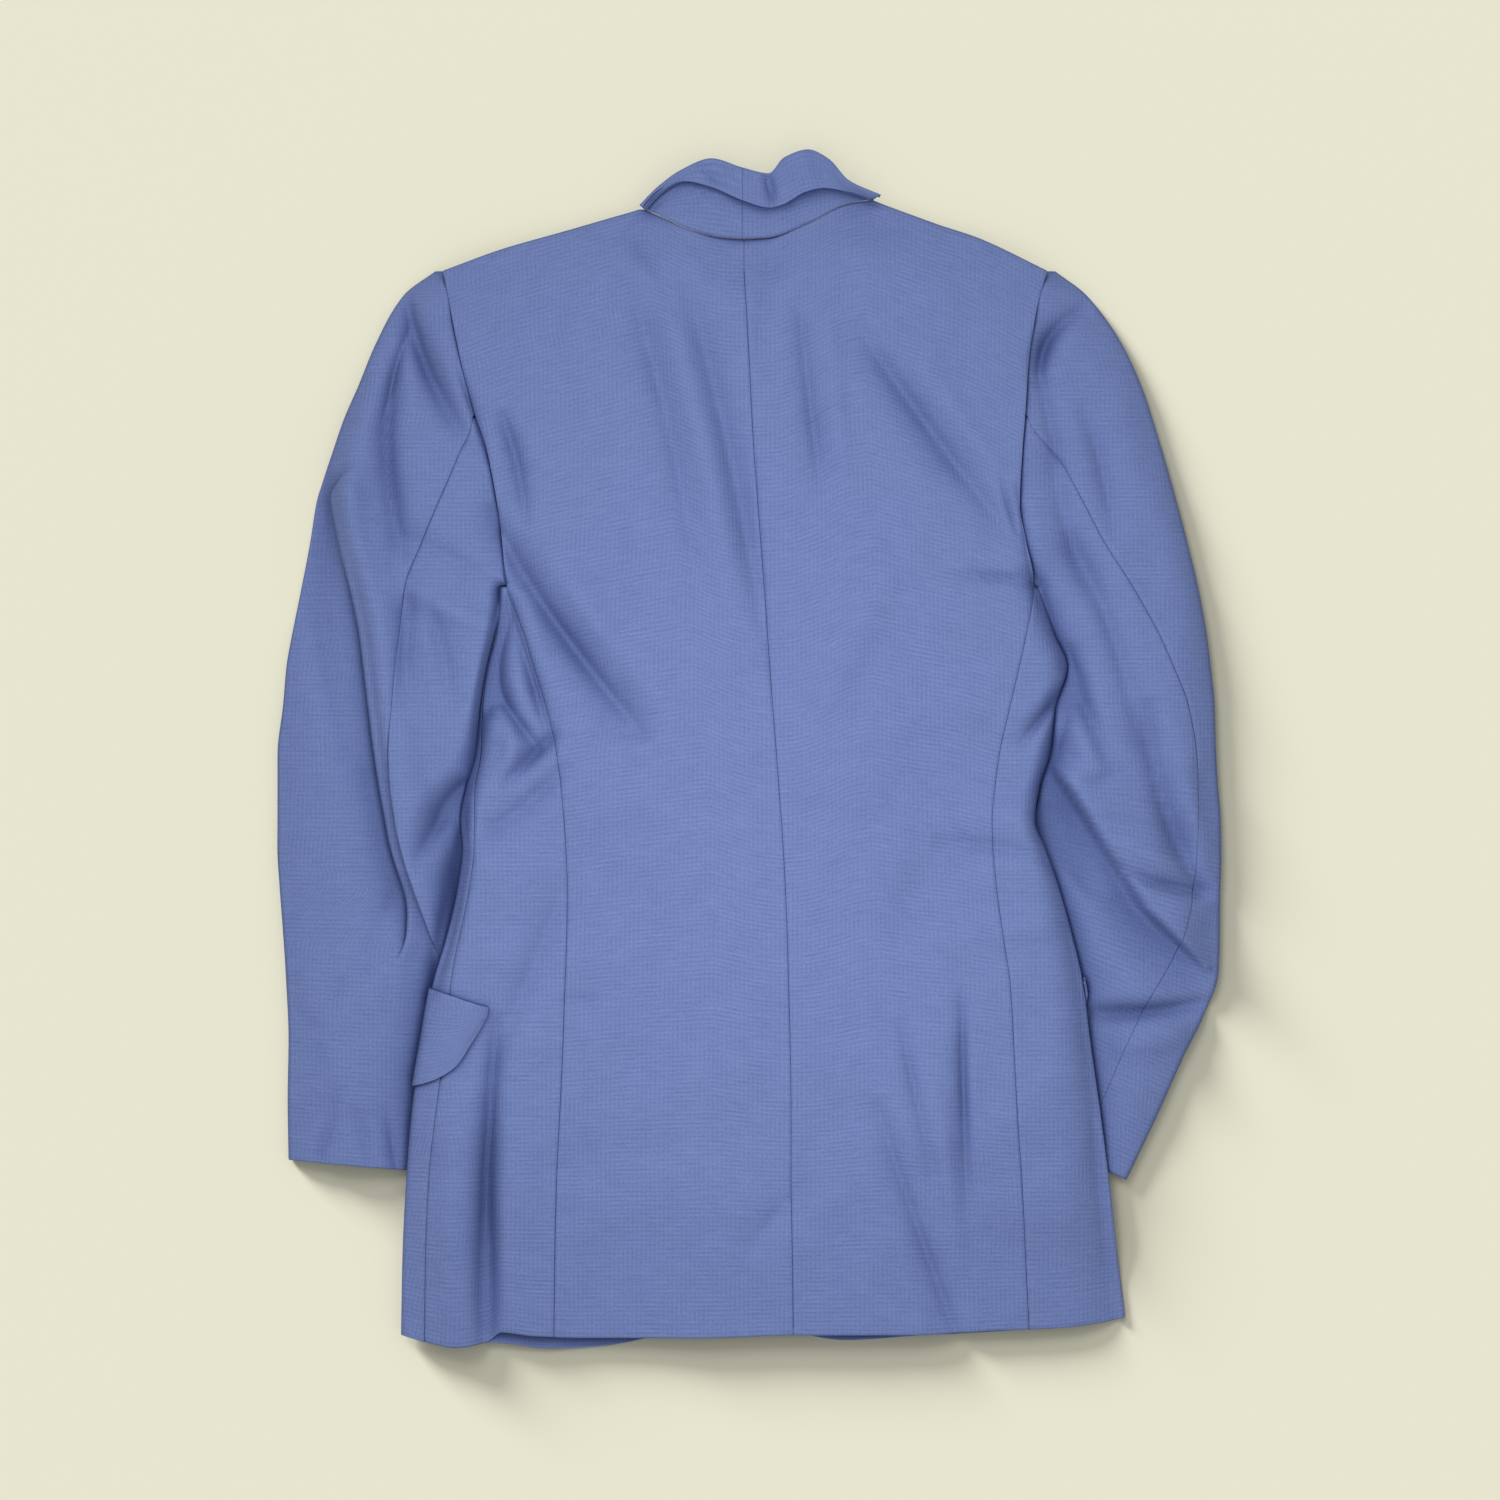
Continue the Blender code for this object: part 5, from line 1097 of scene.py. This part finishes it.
def underSleeveRows(side, row):
    # each row: along the top from the back seam to the inner edge, and round it to the floor
    inwards, tall, inner = inward[side], row["tall"], row["inner"]
    radius = tall / 2
    seam = row["seam"] + inwards * seamGap / 2
    hole = isAbove(row["level"], underarmLevel)
    xEnd = np.where(hole, inner, inner - inwards * radius)
    shares = spread(sleeves["top"], cell)
    xTop = seam + (xEnd - seam) * shares
    zTop = sleeveTop(side, xTop, onRow(row, xTop), tall)
    if side == "L":
        zTop = zTop + overTuck(row, xTop)
    angle = np.linspace(math.pi / 2, -math.pi / 2, 12)[1:]
    xBend = inner - inwards * (radius - radius * np.cos(angle))
    zBend = bent(xTop, zTop, -1, -1, -3, radius, angle)
    xFloor = row["floorEnd"] + inwards * gap
    x = np.concatenate([xTop, xBend, xFloor], axis=1)
    z = np.concatenate([zTop, zBend, 0 * xFloor], axis=1)
    return np.stack([x, onRow(row, x), z], axis=-1), len(shares) - 1


def sleeve(side):
    # upper and under sleeve of one arm, from the armhole to the cuff
    last = sleeves["cuff" + side]
    rows = np.concatenate([levels[:underarmRow],
                           np.linspace(underarmLevel, last + 3, sleeves["rows"])[:-1],
                           last + np.array([3.0, 1.9, 1.1, 0.5, 0.0])])
    row = sleeveRows(side, rows)
    upper = upperSleeveLeft(row) if side == "L" else upperSleeveRight(row)
    under, topCells = underSleeveRows(side, {name: values[seamRow:] for name, values in row.items()})
    for grid in (upper, under):
        grid[-5:, :, 2] -= hemTurn[:, None] * (grid[-5:, :, 2] > 4)
    kept = np.ones((under.shape[0] - 1, under.shape[1] - 1), bool)
    kept[:underarmRow - seamRow, topCells:] = False
    if side == "R":
        under, kept = under[:, ::-1], kept[:, ::-1]
    clothPiece("sleeve_upper_" + full[side], upper, anchor=-1 if side == "L" else 0)
    clothPiece("sleeve_under_" + full[side], under, kept,
               anchor=0 if side == "L" else -1)


# Roll, dip and line: height, distance from the fall's edge, and width
collar = {"centreShare": 0.42, "radius": 2.35, "spring": 2.4, "cell": 1.9, "puff": 0.35, "ease": 0.4,
          "roll": (0.9, 3.0, 1.5), "dip": (-0.5, 5.8, 0.8), "line": (-0.3, 5.4, 0.8), "hem": 0.5,
          "cutL": (0.08, 0.076, 0.0039), "cutR": (0.109, 0.088, 0.0059)}


def collarHalf(side):
    # stand and fall in one: up from the neck seam, half a circle over the fold, down the fall
    onLeft, radius, centre = side == "L", collar["radius"], collar["centreShare"]
    shares = spread(neckLength[side], collar["cell"], not onLeft, onLeft)
    foot = along(neckLine[side], shares)
    where = shares * centre if onLeft else centre + shares * (1 - centre)
    top = np.stack([column(collarTop, axis, where, "share") for axis in "xy"], axis=-1)
    fall = np.stack([column(collarFall, axis, where, "share") for axis in "xy"], axis=-1)
    for edge in (foot, top, fall):
        edge[-1 if onLeft else 0, 0] -= inward[side] * seamGap / 2
    height = np.linalg.norm(top - foot, axis=1)
    towards = (top - foot) / height[:, None]
    drop = np.linalg.norm(top - fall, axis=1)
    low = plainTop(foot[:, 0], foot[:, 1]) + collar["puff"] * relief["puff"] + gap - solidWall
    rows = []
    for share in np.linspace(0, 1, 15):
        reach = 2 * gap + (height - radius - 2 * gap) * share
        below = height - drop - reach  # how far below the fall's edge
        rolled = ridge(below, *collar["roll"]) + ridge(below, *collar["dip"])
        rows.append((reach, low + rolled * ramp(foot[:, 0], -8, -24) * ramp(share, 0.02, 0.2)))
    for angle in np.radians(np.linspace(-90, 90, 13))[1:-1]:
        rows.append((height - radius + radius * math.cos(angle), low + radius + radius * math.sin(angle)))
    for share in np.concatenate([np.linspace(0, 0.9, 13), [0.94, 0.97, 1.0]]):
        reach = height - radius - np.maximum(drop - radius, 1.0) * share
        raised = collar["spring"] * share**2 - collar["hem"] * ramp(share, 0.92, 1)
        rows.append((reach, low + 2 * radius + raised + ridge(height - reach, *collar["line"])))
    grid = np.array([np.column_stack([foot + towards * reach[:, None], z]) for reach, z in rows])
    x, y = grid[..., 0], grid[..., 1]
    free = ramp(np.arange(len(grid)), 18, 26)[:, None]
    grid[..., 2] += free * (creaseHeight(x, y, 4) + collar["ease"] * drape(x, y))
    clothPiece("collar_" + full[side], grid, wall=solidWall)


lapels = {"rows": 84, "widest": 60.0, "cell": 3.6,
          "cutL": (0.072, 0.309, 0.0136), "cutR": (0.072, 0.369, 0.0147)}


def lapel(side):
    # lapel turned out at the roll line: widths of the table at each level, on the floor
    rows, inwards = lapelWidth[side], inward[side]
    heights = np.linspace(rows["level"][0], rows["level"][-1], lapels["rows"])
    inner = rollLine(side, heights) - inwards
    shares = spread(lapels["widest"], lapels["cell"])
    x = inner[:, None] - inwards * column(rows, "width", heights)[:, None] * shares
    grid = np.dstack([x, heights[:, None] + 0 * x, 0 * x])
    clothPiece("lapel_" + full[side], grid[::-1] if side == "L" else grid)


# The gap beneath grows to 1 on the floor side. Line is the stitching: height, distance from the
# edge, and width
flaps = {"wall": 1.5, "gap": 0.7, "deep": 58.0, "cell": 2.2, "near": 0.3,
         "line": (-0.3, 6.0, 0.9), "cutL": (0.198, 0.069, 0.0096), "cutR": (0.16, 0.061, 0.0066)}


def pocketFlap(side):
    # the body's own points round the side, moved out by the flap's wall, with a line of stitching
    rows, near = flapEdge[side], flaps["near"]
    low, high = sorted((rows["turn"][0], rows["turn"][-1]))
    turns = np.unique(np.concatenate([
        np.linspace(low, -arc, 40), np.linspace(-arc, arc, 12), np.linspace(arc, max(high, arc), 22),
        [high - 0.5, high - 1.1, low + 0.5, low + 1.1]]))
    turns = turns[(turns >= low) & (turns <= high)]
    top, bottom = column(rows, "top", turns, "turn"), column(rows, "bottom", turns, "turn")
    level = top + (bottom - top) * spread(flaps["deep"], flaps["cell"])[:, None]
    x, z = tubePoint(side, level, turns, False)
    before, after = (tubePoint(side, level, turns + step, False) for step in (-near, near))
    dx, dz = after[0] - before[0], after[1] - before[1]
    size = np.hypot(dx, dz) * inward[side]
    out = flaps["wall"] + between(flaps["gap"], ramp(turns, 0, -30))
    edge = np.minimum(level - bottom, 1.6 * np.abs(turns - (high if side == "L" else low)))
    out = out + ridge(edge, *flaps["line"]) * (turns > 0)
    grid = np.dstack([x - dz / size * out, level, z + dx / size * out])
    clothPiece("pocket_flap_" + full[side], grid if side == "L" else grid[:, ::-1],
               wall=flaps["wall"])


buttons = {"upper": -45.0, "lower": -150.0, "radius": 10.0, "thick": 2.4, "dish": 0.5, "holes": 1.2,
           "apart": 1.9, "rings": (0.8, 1.6, 2.2, 2.8, 3.4, 4.2, 5.6, 7.2, 7.8, 8.6, 9.3),
           "shader": {"Base Color": linear("#565f86"), "Roughness": 0.35}}


def button(node, level, material):
    # disc with a rounded rim, and a dished face towards the floor with four holes in it, each e to
    # the minus fourth power of the distance from its middle
    radius, thick, apart = buttons["radius"], buttons["thick"], buttons["apart"]
    turn = np.linspace(0, 2 * math.pi, 73)[:-1]
    rim = [radius - 0.3, radius, radius, radius - 0.3, radius - 0.8]
    ring = np.array([*buttons["rings"], *rim])[:, None]
    x, y = ring * np.cos(turn), ring * np.sin(turn)
    holes = np.exp(-(((np.abs(x) - apart) ** 2 + (np.abs(y) - apart) ** 2) / 0.8) ** 2)
    z = buttons["dish"] * ramp(ring, 7.8, 7.0) + buttons["holes"] * holes
    z[-len(rim):] = np.array([[0.15], [0.6], [thick - 0.6], [thick - 0.15], [thick]])
    points = np.concatenate([[(0, 0, buttons["dish"])], np.stack([x, y, z], axis=-1).reshape(-1, 3),
                             [(0, 0, thick)]])
    index = 1 + np.arange(x.size).reshape(x.shape)
    after = np.roll(index, -1, axis=1)
    quads = np.stack([index[:-1], index[1:], after[1:], after[:-1]], axis=-1).reshape(-1, 4)
    first = np.stack([0 * after[0], after[0], index[0]], axis=-1)
    last = np.stack([0 * after[0] + x.size + 1, index[-1], after[-1]], axis=-1)
    points[:, :2] += (float(column(bodyLines, "centre", level)), level)
    faces = quads.tolist() + first.tolist() + last.tolist()
    piece = addMesh(node + "_face", points, faces, None, material)
    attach(piece, "root")
    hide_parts(node)


for side in ("L", "R"):
    backPanel(side)
    sidePanel(side)
    frontPanel(side)
    sleeve(side)
    collarHalf(side)
    lapel(side)
    pocketFlap(side)
print("cloth made")
# moulded in a smooth tool and tumbled: satin, with a broad soft highlight, darker than the cloth
resin, _, _ = newMaterial("moulded satin resin", buttons["shader"])
for name in ("upper", "lower"):
    button("button_" + name, buttons[name], resin)
print("buttons made")

studio = {
    "ground": {"Base Color": linear("#edebd4"), "Roughness": 0.9, "Specular IOR Level": 0.1},
    "reach": 6000.0,
    "world": 0.39,
    "softbox": {"energy": 2.38, "shape": "RECTANGLE", "size": 0.36, "size_y": 0.84},
    "window": {"energy": 0.65, "angle": math.radians(24)},
    "lamp": {"energy": 5.5, "angle": math.radians(16)},
    "camera": (0.0004, -0.0003, 4.0),
    "seen": 0.008,  # level of the cloth that the camera's width is measured on
    "width": 1.005,
    "sensor": 36.0,
}


def addFloor():
    # an even matt ground, wider than the camera sees
    material, _, _ = newMaterial("plain painted board", studio["ground"])
    corners = studio["reach"] * np.array([(-1, -1, 0), (1, -1, 0), (1, 1, 0), (-1, 1, 0)])
    floor = addMesh("floor", corners, [(0, 1, 2, 3)], None, material)
    return floor


def addLight(name, kind, place, turn, settings):
    # place in metres, turn in degrees
    data = bpy.data.lights.new(name, kind)
    for key, value in settings.items():
        setattr(data, key, value)
    light = bpy.data.objects.new(name, data)
    light.location = place
    light.rotation_euler = [math.radians(t) for t in turn]
    bpy.context.scene.collection.objects.link(light)
    return light


floor = addFloor()
# A softbox close over the cloth lights its middle most; a low lamp only draws the ground's shadow
strip = addLight("softbox over the cloth", "AREA", (0, -0.01, 0.56), (0, 0, 0), studio["softbox"])
addLight("upper left window", "SUN", (-2, 2, 2), (-50, 0, 32), studio["window"])
low = addLight("low lamp behind it", "SUN", (-3, 3, 2), (-76, 0, 43), studio["lamp"])
for light, lit in ((strip, [o for o in bpy.data.objects if o.name.endswith(("_cloth", "_face"))]),
                   (low, [floor])):
    light.light_linking.receiver_collection = bpy.data.collections.new(light.name)
    for piece in lit:
        light.light_linking.receiver_collection.objects.link(piece)
world = bpy.data.worlds.new("studio")
world.use_nodes = True
world.node_tree.nodes["Background"].inputs[0].default_value = linear("#ffffff")
world.node_tree.nodes["Background"].inputs[1].default_value = studio["world"]
bpy.context.scene.world = world

camera = bpy.data.cameras.new("camera")
camera.type = "PERSP"
camera.sensor_width = studio["sensor"]
camera.lens = studio["sensor"] * (studio["camera"][2] - studio["seen"]) / studio["width"]
camera.clip_end = 20.0
viewer = bpy.data.objects.new("camera", camera)
viewer.location = studio["camera"]
bpy.context.scene.collection.objects.link(viewer)
bpy.context.scene.camera = viewer
bpy.context.scene.view_settings.view_transform = "Standard"
print("studio set")
